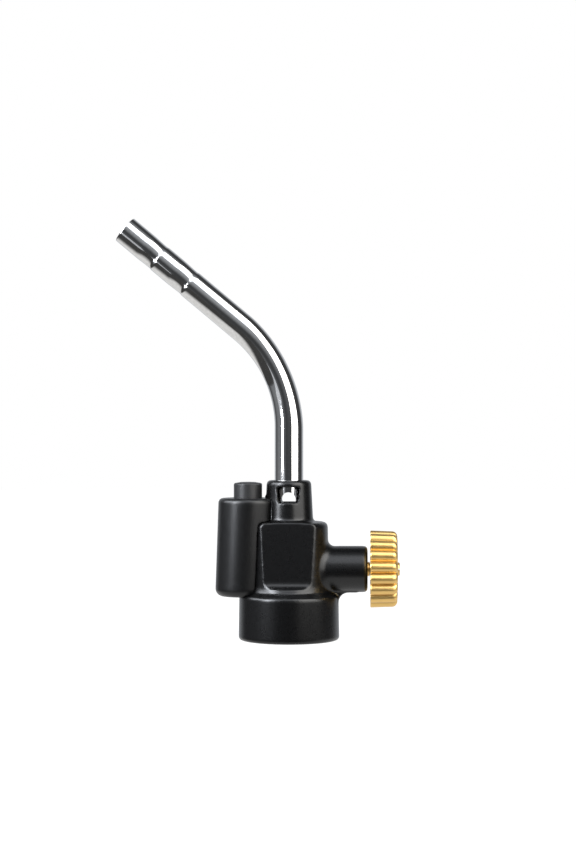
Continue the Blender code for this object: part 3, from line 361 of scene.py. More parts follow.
@dataclass(frozen=True)
class Finishes:
    """All the finishes of the torch."""

    enamel: Finish = Enamel(
        Slot.ENAMEL, (0.0007, 0.0007, 0.0008), 0.2, 0.003, 0.285, 0.04, 0.00042, 0.000007, specular=0.44
    )
    steel: Finish = PolishedTube(
        Slot.POLISHED_STEEL, (0.66, 0.655, 0.645), 0.22, 0.0010, 0.06, 0.02, 0.0022, 0.0000012, 1.0
    )
    knob_brass: Finish = DrawnMetal(
        Slot.POLISHED_BRASS, (0.76, 0.505, 0.18), 0.09, 0.004, 0.37, 0.08, 0.0004, 0.000026, 1.0
    )
    brass: Finish = TurnedMetal(
        Slot.MACHINED_BRASS, (0.80, 0.57, 0.24), 0.08, 0.003, 0.3, 0.08, 0.0003, 0.000003, 1.0
    )
    bare_steel: Finish = Finish(
        Slot.BARE_STEEL, (0.42, 0.42, 0.43), 0.1, 0.002, 0.34, 0.1, 0.0002, 0.000003, 1.0
    )
    bronze: Finish = Finish(Slot.BRONZE, (0.45, 0.30, 0.16), 0.3, 0.0006, 0.65, 0.1, 0.0003, 0.00006, 1.0)
    rubber: Finish = Finish(Slot.RUBBER, (0.018, 0.018, 0.018), 0.2, 0.002, 0.72, 0.1, 0.0003, 0.000012)
    plastic: Finish = Enamel(
        Slot.BLACK_PLASTIC, (0.0007, 0.0007, 0.0008), 0.2, 0.003, 0.35, 0.05, 0.0003, 0.000008,
        specular=0.47, peel_size=0.0008, peel_share=0.4,
    )
    grey: Finish = Enamel(
        Slot.GREY_PLASTIC, (0.012, 0.012, 0.0123), 0.12, 0.002, 0.44, 0.06, 0.00028, 0.000012,
        specular=0.4, peel_size=0.0006, peel_share=0.4,
    )
    natural: Finish = Finish(Slot.WHITE_PLASTIC, (0.70, 0.68, 0.63), 0.05, 0.004, 0.45, 0.05)
    ceramic: Finish = Finish(Slot.CERAMIC, (0.80, 0.78, 0.74), 0.05, 0.002, 0.32, 0.06)
    silicone: Finish = Finish(Slot.SILICONE, (0.36, 0.045, 0.03), 0.12, 0.003, 0.55, 0.08, 0.0003, 0.00001)


FINISHES = Finishes()
MADE: dict[Slot, bpy.types.Material] = {}


def material_of(finish: Finish) -> bpy.types.Material:
    """Give a finish's material, made once."""
    if finish.slot not in MADE:
        MADE[finish.slot] = finish.make()
    return MADE[finish.slot]


def plain(*points: tuple[float, float]) -> list[Corner]:
    """Give corners without fillets."""
    return [(across, up, 0.0) for across, up in points]


def stepped(start: float, *steps: tuple[float, float]) -> list[Corner]:
    """Give the outline of a stepped bar or bore.

    Args:
        start: Where it begins on its axis.
        steps: Each step's radius and where it ends.

    Returns:
        The corners from axis to axis.
    """
    corners = [(0.0, start, 0.0)]
    for radius, end in steps:
        corners += plain((radius, corners[-1][1]), (radius, end))
    return corners + plain((0.0, corners[-1][1]))


def strung(bm: BMesh, points: Iterable[Corner], closed: bool) -> list[BMEdge]:
    """String points together.

    Args:
        bm: The mesh that takes them.
        points: The points in order.
        closed: Whether the last point joins the first.

    Returns:
        The edges between them.
    """
    verts = [bm.verts.new(point) for point in points]
    ends = verts[1:] + verts[:1] if closed else verts[1:]
    return [bm.edges.new(pair) for pair in zip(verts, ends)]


def drawn(corners: Sequence[Corner], closed: bool, arc: int) -> BMesh:
    """Draw an outline in the XZ plane and round its corners.

    Args:
        corners: Each corner's X, Z and fillet radius.
        closed: Whether the last corner joins the first.
        arc: The number of steps in a fillet.

    Returns:
        The outline as edges.
    """
    bm = bmesh.new()
    strung(bm, ((across, 0.0, up) for across, up, _ in corners), closed)
    for vert, (_, _, fillet) in zip(bm.verts[:], corners):
        if fillet and len(vert.link_edges) == 2:
            first, second = (edge.other_vert(vert).co - vert.co for edge in vert.link_edges)
            reach = fillet / math.tan(first.angle(second) / 2)
            form = {"offset_type": "OFFSET", "affect": "VERTICES", "profile": 0.5, "material": -1}
            bmesh.ops.bevel(bm, geom=[vert], offset=reach, segments=arc, **form)
    return bm


def spun(bm: BMesh, angle: float, steps: int, **more: object) -> None:
    """Sweep the whole of a mesh round the Z axis, through an angle in some steps."""
    whole = bm.verts[:] + bm.edges[:]
    bmesh.ops.spin(bm, geom=whole, cent=ORIGIN, axis=AXIS_Z, angle=angle, steps=steps, **more)


def turned(corners: Sequence[Corner], segments: int = 96, closed: bool = False, arc: int = 5) -> BMesh:
    """Turn an outline round the Z axis.

    Args:
        corners: Each corner's radius, height and fillet radius.
        segments: The number of steps round the axis.
        closed: Whether the outline is a ring's section.
        arc: The number of steps in a fillet.

    Returns:
        The turned shape.
    """
    bm = drawn(corners, closed, arc)
    spun(bm, math.tau, segments, use_merge=True)
    return tidied(bm)


def tidied(bm: BMesh) -> BMesh:
    """Merge doubled points and turn all faces outwards."""
    bmesh.ops.remove_doubles(bm, verts=bm.verts, dist=WELD)
    bmesh.ops.recalc_face_normals(bm, faces=bm.faces)
    return bm


def placed(bm: BMesh, matrix: Matrix) -> BMesh:
    """Move a shape to its place."""
    bmesh.ops.transform(bm, matrix=matrix, verts=bm.verts)
    return bm


def ring_of(edges: Iterable[BMEdge]) -> list[BMVert]:
    """Give the points of some edges, each once."""
    return list(dict.fromkeys(vert for edge in edges for vert in edge.verts))


def pushed(bm: BMesh, edges: list[BMEdge], step: Vector) -> list[BMEdge]:
    """Draw a ring of edges out by a step and give the new ring."""
    moved = bmesh.ops.extrude_edge_only(bm, edges=edges)["geom"]
    verts = [item for item in moved if isinstance(item, BMVert)]
    bmesh.ops.translate(bm, verts=verts, vec=step)
    return [item for item in moved if isinstance(item, BMEdge) and len(item.link_faces) == 1]


def slab(corners: Sequence[Corner], place: Matrix, thickness: float) -> BMesh:
    """Extrude a closed outline evenly to both sides of its plane.

    Args:
        corners: Each corner's X, Z and fillet radius.
        place: Where the outline's plane goes.
        thickness: The whole thickness.

    Returns:
        The slab.
    """
    bm = drawn(corners, True, 5)
    bmesh.ops.contextual_create(bm, geom=bm.edges[:])
    moved = bmesh.ops.extrude_face_region(bm, geom=bm.faces[:])
    tops = [item for item in moved["geom"] if isinstance(item, BMVert)]
    bmesh.ops.translate(bm, verts=tops, vec=(0.0, thickness, 0.0))
    bmesh.ops.translate(bm, verts=bm.verts, vec=(0.0, -thickness / 2, 0.0))
    return tidied(placed(bm, place))


def bar(place: Matrix, segments: int, start: float, *steps: tuple[float, float]) -> BMesh:
    """Turn a stepped bar, or the tool for such a bore, and move it to its place."""
    return placed(turned(stepped(start, *steps), segments), place)


def bar_between(radius: float, start: Vector, end: Vector) -> BMesh:
    """Make a bar from one point to another."""
    turn = (end - start).to_track_quat("Z", "Y").to_matrix().to_4x4()
    return bar(Matrix.Translation(start) @ turn, 24, 0.0, (radius, (end - start).length))


def end_slot(end: float, size: Corner) -> BMesh:
    """Shape the tool that cuts a screwdriver slot across an end of the valve.

    Args:
        end: Where the end is along X.
        size: The tool's size along each axis, half of it beyond the end.

    Returns:
        The tool.
    """
    bm = bmesh.new()
    bmesh.ops.create_cube(bm, size=1.0, matrix=Matrix.Translation((end, 0.0, VALVE_LEVEL)))
    bmesh.ops.scale(bm, vec=size, space=Matrix.Translation((-end, 0.0, -VALVE_LEVEL)), verts=bm.verts)
    return bm


def joined(shapes: Iterable[BMesh]) -> BMesh:
    """Put several shapes into one mesh."""
    whole = bmesh.new()
    for shape in shapes:
        part = bpy.data.meshes.new("part")
        shape.to_mesh(part)
        shape.free()
        whole.from_mesh(part)
        bpy.data.meshes.remove(part)
    return whole


def loose(name: str, bm: BMesh) -> bpy.types.Object:
    """Turn a mesh in the making into an object at the origin."""
    mesh = bpy.data.meshes.new(name)
    bm.to_mesh(mesh)
    bm.free()
    thing = bpy.data.objects.new(name, mesh)
    bpy.context.scene.collection.objects.link(thing)
    return thing


def settled(thing: bpy.types.Object) -> None:
    """Put the result of an object's modifiers into its mesh."""
    graph = bpy.context.evaluated_depsgraph_get()
    graph.update()
    old = thing.data
    mesh = bpy.data.meshes.new_from_object(thing.evaluated_get(graph))
    thing.modifiers.clear()
    thing.data = mesh
    bpy.data.meshes.remove(old)


def carved(thing: bpy.types.Object, tools: Iterable[tuple[Cut, BMesh]]) -> None:
    """Cut shapes away from an object, or join them on to it, one after another.

    Args:
        thing: The object.
        tools: Each shape and how it acts.
    """
    helpers = []
    for cut, shape in tools:
        tool = loose("tool", shape)
        helpers.append(tool)
        step = thing.modifiers.new("cut", "BOOLEAN")
        step.operation = cut.value
        step.solver = "EXACT"
        step.object = tool
    settled(thing)
    for tool in helpers:
        bpy.data.objects.remove(tool, do_unlink=True)


def relaxed(bm: BMesh, verts: Sequence[BMVert]) -> None:
    """Smooth some points once."""
    bmesh.ops.smooth_vert(bm, verts=verts, factor=0.5, use_axis_x=True, use_axis_y=True, use_axis_z=True)


def softened(thing: bpy.types.Object, cell: float, passes: int, deep: Callable[[Vector], int]) -> None:
    """Give a carved shape the rounded edges and fillets of a casting or moulding.

    Args:
        thing: The object.
        cell: The size of the faces of its new skin.
        passes: How often the whole skin is smoothed.
        deep: Tells how much oftener a place is smoothed.
    """
    skin = thing.modifiers.new("skin", "REMESH")
    skin.mode = "VOXEL"
    skin.voxel_size = cell
    settled(thing)
    bm = bmesh.new()
    bm.from_mesh(thing.data)
    for _ in range(passes):
        relaxed(bm, bm.verts)
    extra = {vert: deep(vert.co) for vert in bm.verts}
    for turn in range(max(extra.values())):
        relaxed(bm, [vert for vert, count in extra.items() if count > turn])
    bm.to_mesh(thing.data)
    bm.free()


def dressed(
    thing: bpy.types.Object, finish: Finish, node: str, body: Body = Body.TORCH, sharp: float = SHARP
) -> None:
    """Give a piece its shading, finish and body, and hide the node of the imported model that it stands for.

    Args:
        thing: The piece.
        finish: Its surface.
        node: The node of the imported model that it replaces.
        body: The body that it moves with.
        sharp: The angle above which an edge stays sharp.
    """
    thing.data.shade_smooth()
    thing.data.set_sharp_from_angle(angle=sharp)
    thing.data.materials.clear()
    thing.data.materials.append(material_of(finish))
    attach(thing, body.value)
    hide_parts(node)
    LOG.info("%s: %d faces", thing.name, len(thing.data.polygons))


@dataclass(frozen=True)
class Turning:
    """A small piece that is turned in one go.

    Attributes:
        name: What it is called.
        node: The node that it replaces.
        finish: Its surface.
        segments: The number of steps round its axis.
        ring: Whether its outline is a ring's section.
        corners: Each corner's radius, height and fillet radius.
        arc: The number of steps in a fillet.
    """

    name: str
    node: str
    finish: Finish
    segments: int
    ring: bool
    corners: tuple
    arc: int = 5

    def build(
        self, place: Matrix = UNMOVED, body: Body = Body.TORCH, cuts: Sequence = (), sharp: float = SHARP
    ) -> bpy.types.Object:
        """Turn the piece, cut it and dress it.

        Args:
            place: Where its axis goes.
            body: The body that it moves with.
            cuts: The tools that shape it further.
            sharp: The angle above which an edge stays sharp.

        Returns:
            The piece.
        """
        piece = loose(self.name, placed(turned(self.corners, self.segments, self.ring, self.arc), place))
        if cuts:
            carved(piece, cuts)
        dressed(piece, self.finish, self.node, body, sharp)
        return piece


@dataclass
class CastBody:
    """The black casting: collar, shoulder, block, neck and valve boss."""

    collar_radius: float = 0.0211
    collar_top_radius: float = 0.02085
    collar_height: float = 0.0186
    collar_round: float = 0.0013
    base_round: float = 0.0012
    shoulder_top: float = 0.0203
    shoulder_round: float = 0.0008
    flare_radius: float = 0.0176
    foot_rise: float = 0.0004
    foot_fillet: float = 0.0010
    block_low_radius: float = 0.0169
    block_top_radius: float = 0.0163
    block_top: float = 0.0498
    block_rim: float = 0.0493
    block_round: float = 0.0021
    neck_low_radius: float = 0.0102
    neck_fillet: float = 0.0013
    neck_top_radius: float = 0.0093
    neck_top: float = 0.0669
    neck_round: float = 0.0017
    tube_bore: float = 0.0063
    bore_floor: float = 0.0525
    jet_hole: float = 0.0029
    jet_floor: float = 0.0457
    pocket_radius: float = 0.0163
    pocket_top: float = 0.0155
    recess_radius: float = 0.0074
    recess_top: float = 0.0179
    panel_low: float = 0.0138
    panel_top: float = 0.0117
    panel_floor: float = 0.0223
    panel_fillet: float = 0.0028
    panel_over: float = 0.0021
    boss_start: float = 0.0085
    boss_radius: float = 0.0097
    boss_reach: float = 0.0330
    boss_round: float = 0.0016
    web_start: float = 0.0139
    web_radius: float = 0.0040
    web_drop: float = 1.2
    web_width: float = 0.0070
    nib_points: tuple = ((-0.0079, 0.0597), (-0.0104, 0.0597), (-0.0098, 0.06045), (-0.0079, 0.0612))
    nib_width: float = 0.0044
    rib_radius: float = 0.00042
    rib_foot: Corner = (-0.0071, 0.00705, 0.0494)
    rib_head: Corner = (-0.0069, 0.0066, 0.0584)
    window_low: float = 0.0577
    window_top: float = 0.0641
    window_low_width: float = 0.0082
    window_top_width: float = 0.0094
    window_round: float = 0.0007
    window_depth: float = 0.04
    valve_start: float = -0.0076
    valve_steps: tuple = ((0.0018, -0.0049), (0.0028, 0.0020), (0.0043, 0.0223), (0.0063, 0.0340))
    igniter_offset: float = 0.01865
    igniter_radius: float = 0.0086
    igniter_floor: float = 0.0198
    igniter_top: float = 0.0578
    fillet_reach: float = 0.0048
    fillet_start: float = 0.0118
    fillet_passes: int = 120
    passes: int = 6
    cell: float = 0.00042

    def outline(self, grow: float) -> list[Corner]:
        """Give the outside from the neck down.

        Args:
            grow: The clearance that it is grown by.

        Returns:
            Each corner's radius, height and fillet radius.
        """
        return [
            (self.neck_top_radius + grow, self.neck_top, self.neck_round),
            (self.neck_low_radius + grow, self.block_top + grow, self.neck_fillet),
            (self.block_top_radius + grow, self.block_rim + grow, self.block_round),
            (self.block_low_radius + grow, self.panel_floor + self.foot_rise, self.foot_fillet),
            (self.flare_radius + grow, self.shoulder_top, self.shoulder_round),
            (self.collar_top_radius + grow, self.collar_height, self.collar_round),
        ]

    def blank(self) -> BMesh:
        """Turn the casting without its boss and cuts."""
        inside = stepped(self.jet_floor, (self.jet_hole, self.bore_floor), (self.tube_bore, self.neck_top))
        under = stepped(0.0, (self.pocket_radius, self.pocket_top), (self.recess_radius, self.recess_top))
        base = (self.collar_radius, 0.0, self.base_round)
        return turned(inside[:-1] + self.outline(0.0) + [base] + under[1:], 128)

    def boss(self) -> BMesh:
        """Turn the valve boss."""
        corners = stepped(self.boss_start, (self.boss_radius, self.boss_reach))
        corners[2] = (self.boss_radius, self.boss_reach, self.boss_round)
        return placed(turned(corners), VALVE_PLACE)

    def gusset(self) -> BMesh:
        """Shape the rounded web between the boss and the collar."""
        under = VALVE_LEVEL - self.boss_radius
        edge = self.collar_top_radius
        out = edge + 2 * self.web_radius
        corners = plain((self.web_start, VALVE_LEVEL), (out, VALVE_LEVEL), (out, under))
        corners.append((edge, under, self.web_radius))
        corners += plain((edge, under - self.web_drop * self.web_radius), (self.web_start, self.shoulder_top))
        return slab(corners, UNMOVED, self.web_width)

    def rib(self, side: float) -> BMesh:
        """Shape the slim rib on the neck beside the pod, at the front or the rear."""
        flip = Vector((1.0, side, 1.0))
        return bar_between(self.rib_radius, Vector(self.rib_foot) * flip, Vector(self.rib_head) * flip)

    def panel(self, side: float) -> BMesh:
        """Shape the tool that cuts one flat panel with a fillet along its foot."""
        far = 2 * self.block_low_radius
        over = self.block_top + self.panel_over
        lean = (self.panel_low - self.panel_top) / (self.block_top - self.shoulder_top)
        corners = [
            (far, self.panel_floor, 0.0),
            (self.panel_low, self.panel_floor, self.panel_fillet),
            (self.panel_top - lean * self.panel_over, over, 0.0),
            (far, over, 0.0),
        ]
        return slab(corners, Matrix.Rotation(side * math.pi / 2, 4, "Z"), 2 * far)

    def window(self) -> BMesh:
        """Shape the tool that opens the air windows."""
        low = self.window_low_width / 2
        top = self.window_top_width / 2
        ends = [(-low, self.window_low), (low, self.window_low)]
        ends += [(top, self.window_top), (-top, self.window_top)]
        return slab([(*end, self.window_round) for end in ends], UNMOVED, self.window_depth)

    def fillets(self, point: Vector) -> int:
        """Tell how much oftener a place is smoothed, for the fillet round the foot of the boss."""
        from_boss = math.hypot(point.y, point.z - VALVE_LEVEL) - self.boss_radius
        rise = (point.z - self.shoulder_top) / (self.block_top - self.shoulder_top)
        skin = self.block_low_radius + (self.block_top_radius - self.block_low_radius) * rise
        from_block = math.hypot(point.x, point.y) - skin
        near = 1 - math.hypot(from_boss, from_block) / self.fillet_reach
        inside = min((point.x - self.fillet_start) / self.fillet_reach * 2, 1.0)
        return int(self.fillet_passes * max(near, 0.0) * max(inside, 0.0))

    def build(self) -> None:
        """Cast the body and dress it."""
        casting = loose("body_casting", self.blank())
        nib = slab(plain(*self.nib_points), UNMOVED, self.nib_width)
        forms = Cut.JOIN.by(self.boss(), self.gusset(), nib)
        carved(casting, forms + Cut.AWAY.by(self.panel(-1.0), self.panel(1.0), self.window()))
        softened(casting, self.cell, self.passes, self.fillets)
        under_pod = Matrix.Translation((-self.igniter_offset, 0.0, 0.0))
        bores = Cut.AWAY.by(
            bar(VALVE_PLACE, 48, self.valve_start, *self.valve_steps),
            bar(under_pod, 64, self.igniter_floor, (self.igniter_radius, self.igniter_top)),
            bar_between(LEAD_HOLE, LEAD_FOOT, LEAD_KNEE),
            bar_between(LEAD_HOLE, LEAD_KNEE, LEAD_END),
        )
        carved(casting, bores + Cut.JOIN.by(self.rib(-1.0), self.rib(1.0)))
        dressed(casting, FINISHES.enamel, "torch_body", sharp=SOFT)


SLEEVE = Turning(
    "electrode_sleeve", "electrode_insulator", FINISHES.ceramic, 40, True,
    ((0.0009, -0.0445, 0.0), (0.0016, -0.0445, 0.0002), (0.0016, -0.0115, 0.0002), (0.0009, -0.0115, 0.0)),
)
ELECTRODE = Turning(
    "electrode_wire", "spark_electrode", FINISHES.bare_steel, 24, False,
    ((0.0, -0.0445, 0.0), (0.0006, -0.0445, 0.0), (0.0006, -0.0070, 0.0003), (0.0, -0.0070, 0.0)),
)


@dataclass
class BurnerTube:
    """The bent steel tube with its crimps, and the flame holder and electrode in its tip."""

    radius: float = 0.0060
    wall: float = 0.0008
    rim_bevel: float = 0.00018
    sides: int = 96
    bottom: float = 0.0528
    straight_top: float = 0.0892
    straight_steps: int = 28
    bend_radius: float = 0.0540
    bend_angle: float = math.radians(50)
    bend_steps: int = 56
    flattening: float = 0.0006
    tip_length: float = 0.0650
    tip_step: float = 0.0005
    crimps: tuple = (0.0183, 0.0350)
    crimp_depth: float = 0.00024
    crimp_lead_in: float = 0.0075
    crimp_return: float = 0.0013
    air_radius: float = 0.00305
    air_ends: tuple = ((0.0, -0.012, 0.0589), (0.0, 0.012, 0.0589))
    holder_front: float = 0.0145
    holder_length: float = 0.0235
    holder_steps: int = 24
    holder_gap: float = 0.0003
    holder_bore: float = 0.0019
    bore_end: float = -0.05
    hub_radius: float = 0.0028
    vane_foot: float = 0.0045
    vanes: int = 6
    vane_angles: tuple = (0.0, 8.0, 16.0, 24.0)
    gap_angles: tuple = (24.0, 36.0, 48.0)
    twist: float = math.radians(70)

    def tip(self) -> Matrix:
        """Give the place of the tube's tip, with local Z out along the tube."""
        turn = self.bend_angle
        x = -self.bend_radius * (1 - math.cos(turn)) - self.tip_length * math.sin(turn)
        z = self.straight_top + self.bend_radius * math.sin(turn) + self.tip_length * math.cos(turn)
        return Matrix.Translation((x, 0.0, z)) @ Matrix.Rotation(-turn, 4, "Y")

    def squeeze(self, from_tip: float) -> float:
        """Give how far the crimps press the tube in, at a distance from its tip."""
        depth = 0.0
        for crimp in self.crimps:
            past = from_tip - crimp
            reach = self.crimp_return if past > 0 else self.crimp_lead_in
            near = max(1 - abs(past) / reach, 0.0)
            depth = max(depth, self.crimp_depth * near * near * (3 - 2 * near))
        return depth

    def skin(self) -> BMesh:
        """Draw the tube's outside from its foot to its tip."""
        bm = bmesh.new()
        low = Matrix.Translation((0.0, 0.0, self.bottom))
        bmesh.ops.create_circle(bm, segments=self.sides, radius=self.radius, matrix=low)
        edges = bm.edges[:]
        step = Vector((0.0, 0.0, (self.straight_top - self.bottom) / self.straight_steps))
        for _ in range(self.straight_steps):
            edges = pushed(bm, edges, step)
        bent = bmesh.ops.spin(
            bm,
            geom=edges + ring_of(edges),
            cent=(-self.bend_radius, 0.0, self.straight_top),
            axis=(0.0, -1.0, 0.0),
            angle=self.bend_angle,
            steps=self.bend_steps,
            use_merge=False,
        )
        self.flatten(bm)
        edges = [item for item in bent["geom_last"] if isinstance(item, BMEdge)]
        out = self.tip().to_3x3() @ Vector(AXIS_Z)
        count = round(self.tip_length / self.tip_step)
        for index in range(1, count + 1):
            edges = pushed(bm, edges, out * (self.tip_length / count))
            from_tip = self.tip_length * (1 - index / count)
            before = self.radius - self.squeeze(from_tip + self.tip_step)
            share = (self.radius - self.squeeze(from_tip)) / before
            middle = self.tip() @ Vector((0.0, 0.0, -from_tip))
            bmesh.ops.scale(bm, vec=(share,) * 3, space=Matrix.Translation(-middle), verts=ring_of(edges))
        return tidied(bm)

    def flatten(self, bm: BMesh) -> None:
        """Press the outside of the bend in a little."""
        for vert in bm.verts:
            if vert.co.z > self.straight_top + WELD:
                away = vert.co - Vector((-self.bend_radius, vert.co.y, self.straight_top))
                turn = math.atan2(away.z, away.x)
                over = max(away.length - self.bend_radius, 0.0) / self.radius
                depth = self.flattening * math.sin(math.pi * min(turn / self.bend_angle, 1.0)) * over
                vert.co -= away.normalized() * depth

    def tube(self) -> None:
        """Make the tube with its wall, air holes and lead hole."""
        tube = loose("steel_tube", self.skin())
        wall = tube.modifiers.new("wall", "SOLIDIFY")
        wall.thickness = self.wall
        wall.offset = -1.0
        rim = tube.modifiers.new("rim", "BEVEL")
        rim.width = self.rim_bevel
        rim.segments = 2
        rim.angle_limit = math.radians(60)
        settled(tube)
        air = bar_between(self.air_radius, *(Vector(end) for end in self.air_ends))
        carved(tube, Cut.AWAY.by(air, bar_between(LEAD_HOLE, LEAD_KNEE, LEAD_END)))
        dressed(tube, FINISHES.steel, "burner_tube")

    def holder(self) -> None:
        """Make the flame holder: a hub with twisted vanes."""
        outside = self.radius - self.wall - self.holder_gap
        section = [(angle, outside) for angle in self.vane_angles]
        section += [(angle, self.hub_radius) for angle in self.gap_angles]
        points = []
        for vane in range(self.vanes):
            for angle, reach in section:
                turn = math.radians(360 / self.vanes * vane + angle)
                points.append((reach * math.cos(turn), reach * math.sin(turn), -self.holder_front))
        bm = bmesh.new()
        edges = strung(bm, points, True)
        twist = Matrix.Rotation(self.twist / self.holder_steps, 3, "Z")
        for index in range(1, self.holder_steps + 1):
            edges = pushed(bm, edges, Vector((0.0, 0.0, -self.holder_length / self.holder_steps)))
            ring = ring_of(edges)
            bmesh.ops.rotate(bm, verts=ring, cent=ORIGIN, matrix=twist)
            depth = self.squeeze(self.holder_front + self.holder_length * index / self.holder_steps)
            for vert in ring:
                across = math.hypot(vert.co.x, vert.co.y)
                if across > self.vane_foot:
                    share = (outside - depth) / across
                    vert.co.x *= share
                    vert.co.y *= share
        bmesh.ops.holes_fill(bm, edges=bm.edges, sides=0)
        holder = loose("flame_holder", placed(tidied(bm), self.tip()))
        carved(holder, Cut.AWAY.by(bar(self.tip(), 32, self.bore_end, (self.holder_bore, 0.0))))
        dressed(holder, FINISHES.brass, "swirl_insert", sharp=CRISP)

    def build(self) -> None:
        """Make the tube and what is in its tip."""
        self.tube()
        self.holder()
        SLEEVE.build(self.tip())
        ELECTRODE.build(self.tip())


BUTTON = Turning(
    "push_button", "igniter_button", FINISHES.grey, 96, False,
    (
        (0.0, 0.0615, 0.0), (0.0045, 0.0615, 0.0), (0.0045, 0.0500, 0.0), (0.00595, 0.0500, 0.0),
        (0.00595, 0.0656, 0.0008), (0.002975, 0.0661, 0.004), (0.0, 0.0662, 0.0),
    ),
    arc=6,
)


@dataclass
class Igniter:
    """The igniter pod and its push button."""

    low_offset: float = 0.0192
    top_offset: float = 0.0173
    top_radius: float = 0.0123
    top_round: float = 0.0019
    low_radius: float = 0.0118
    low_round: float = 0.0033
    hollow_round: float = 0.0017
    bottom: float = 0.0182
    top: float = 0.0594
    wall: float = 0.0016
    seam: float = 0.00002
    cell: float = 0.00034
    passes: int = 3
    button_offset: float = 0.01724
    mouth: float = 0.00625
    button_sharp: float = math.radians(50)

    def outline(self, inset: float, low_round: float, top_round: float) -> list[Corner]:
        """Give the pod's outline.

        Args:
            inset: How far it lies inside the skin.
            low_round: The fillet radius at the bottom.
            top_round: The fillet radius at the top.

        Returns:
            Each corner's radius, height and fillet radius.
        """
        low = self.bottom + inset
        top = self.top - inset
        sides = [(self.low_radius - inset, low, low_round), (self.top_radius - inset, top, top_round)]
        return plain((0.0, low)) + sides + plain((0.0, top))

    def pod(self, over_button: Matrix) -> None:
        """Mould the pod's shell and cut it back where it meets the body."""
        place = Matrix.Translation((-self.low_offset, 0.0, 0.0))
        place[0][2] = (self.low_offset - self.top_offset) / (self.top - self.bottom)
        place[0][3] -= place[0][2] * self.bottom
        body = CastBody()
        envelope = plain((0.0, body.neck_top)) + body.outline(self.seam)
        envelope += plain((body.collar_radius + self.seam, 0.0), (0.0, 0.0))
        outside = self.outline(0.0, self.low_round, self.top_round)
        pod = loose("pod_shell", placed(turned(outside, arc=8), place))
        hollow = placed(turned(self.outline(self.wall, self.hollow_round, 0.0)), place)
        mouth = bar(over_button, 64, self.top - 2 * self.wall, (self.mouth, self.top + self.wall))
        carved(pod, Cut.AWAY.by(hollow, mouth, turned(envelope, 128)))
        softened(pod, self.cell, self.passes, lambda point: 0)
        dressed(pod, FINISHES.plastic, "igniter_pod", sharp=SOFT)

    def build(self) -> None:
        """Make the pod and the button."""
        over_button = Matrix.Translation((-self.button_offset, 0.0, 0.0))
        self.pod(over_button)
        BUTTON.build(over_button, Body.BUTTON, sharp=self.button_sharp)


SEAL = Turning(
    "seal_washer", "inlet_seal", FINISHES.rubber, 72, True,
    ((0.0025, 0.0102, 0.0003), (0.0080, 0.0102, 0.0004), (0.0080, 0.0117, 0.0), (0.0025, 0.0117, 0.0)),
)
VALVE_PIN = Turning(
    "valve_pin", "valve_depressor", FINISHES.brass, 40, True,
    (
        (0.0008, 0.0080, 0.0), (0.0022, 0.0080, 0.0004), (0.0022, 0.0155, 0.0),
        (0.0044, 0.0155, 0.0), (0.0044, 0.0163, 0.0), (0.0008, 0.0163, 0.0),
    ),
)


@dataclass
class GasInlet:
    """The threaded cylinder socket with its seal and valve pin, and the gas jet."""

    bore: float = 0.0122
    root: float = 0.0128
    pitch: float = 0.00127
    flank: float = 0.46
    crest: float = 0.00012
    thread_sink: float = 0.0002
    thread_steps: int = 72
    mouth: float = 0.0012
    mouth_chamfer: float = 0.0008
    floor: float = 0.0120
    radius: float = 0.0160
    top: float = 0.0152
    gas_way: float = 0.0025
    nozzle: tuple = (
        (0.0004, 0.0460, 0.0), (0.0026, 0.0460, 0.0003), (0.0026, 0.0550, 0.0),
        (0.0013, 0.0568, 0.0002), (0.0004, 0.0568, 0.0),
    )
    hexagon_radius: float = 0.0036
    hexagon_height: float = 0.0022
    hexagon_level: float = 0.0539

    def thread(self) -> BMesh:
        """Wind the ridge of the socket's thread."""
        low = self.mouth + self.pitch
        half = self.pitch * self.flank
        foot = self.root + self.thread_sink
        ridge = ((foot, -half), (self.bore, -self.crest), (self.bore, self.crest), (foot, half))
        bm = bmesh.new()
        strung(bm, ((reach, 0.0, low + up) for reach, up in ridge), True)
        steps = int((self.floor - low - self.pitch) / self.pitch * self.thread_steps)
        rise = (0.0, 0.0, self.pitch / self.thread_steps)
        spun(bm, math.tau * steps / self.thread_steps, steps, dvec=rise)
        bmesh.ops.holes_fill(bm, edges=bm.edges, sides=0)
        return tidied(bm)

    def socket(self) -> None:
        """Turn the socket and join its thread."""
        corners = [
            (self.root + self.mouth_chamfer, self.mouth, 0.0001),
            (self.radius, self.mouth, 0.0003),
            (self.radius, self.top, 0.0),
            (self.gas_way, self.top, 0.0),
            (self.gas_way, self.floor, 0.0002),
            (self.root, self.floor, 0.0),
            (self.root, self.mouth + self.mouth_chamfer, 0.0),
        ]
        socket = loose("threaded_socket", joined([turned(corners, 96, True), self.thread()]))
        dressed(socket, FINISHES.brass, "cylinder_socket", sharp=CRISP)

    def jet(self) -> None:
        """Make the gas jet with its hexagon."""
        flats = bmesh.new()
        wide = self.hexagon_radius
        bmesh.ops.create_cone(
            flats, cap_ends=True, segments=6, radius1=wide, radius2=wide, depth=self.hexagon_height
        )
        bmesh.ops.translate(flats, verts=flats.verts, vec=(0.0, 0.0, self.hexagon_level))
        jet = loose("gas_nozzle", joined([turned(self.nozzle, 40, True), tidied(flats)]))
        dressed(jet, FINISHES.brass, "gas_jet")

    def build(self) -> None:
        """Make the socket and the small pieces of the gas way."""
        self.socket()
        SEAL.build()
        VALVE_PIN.build()
        self.jet()


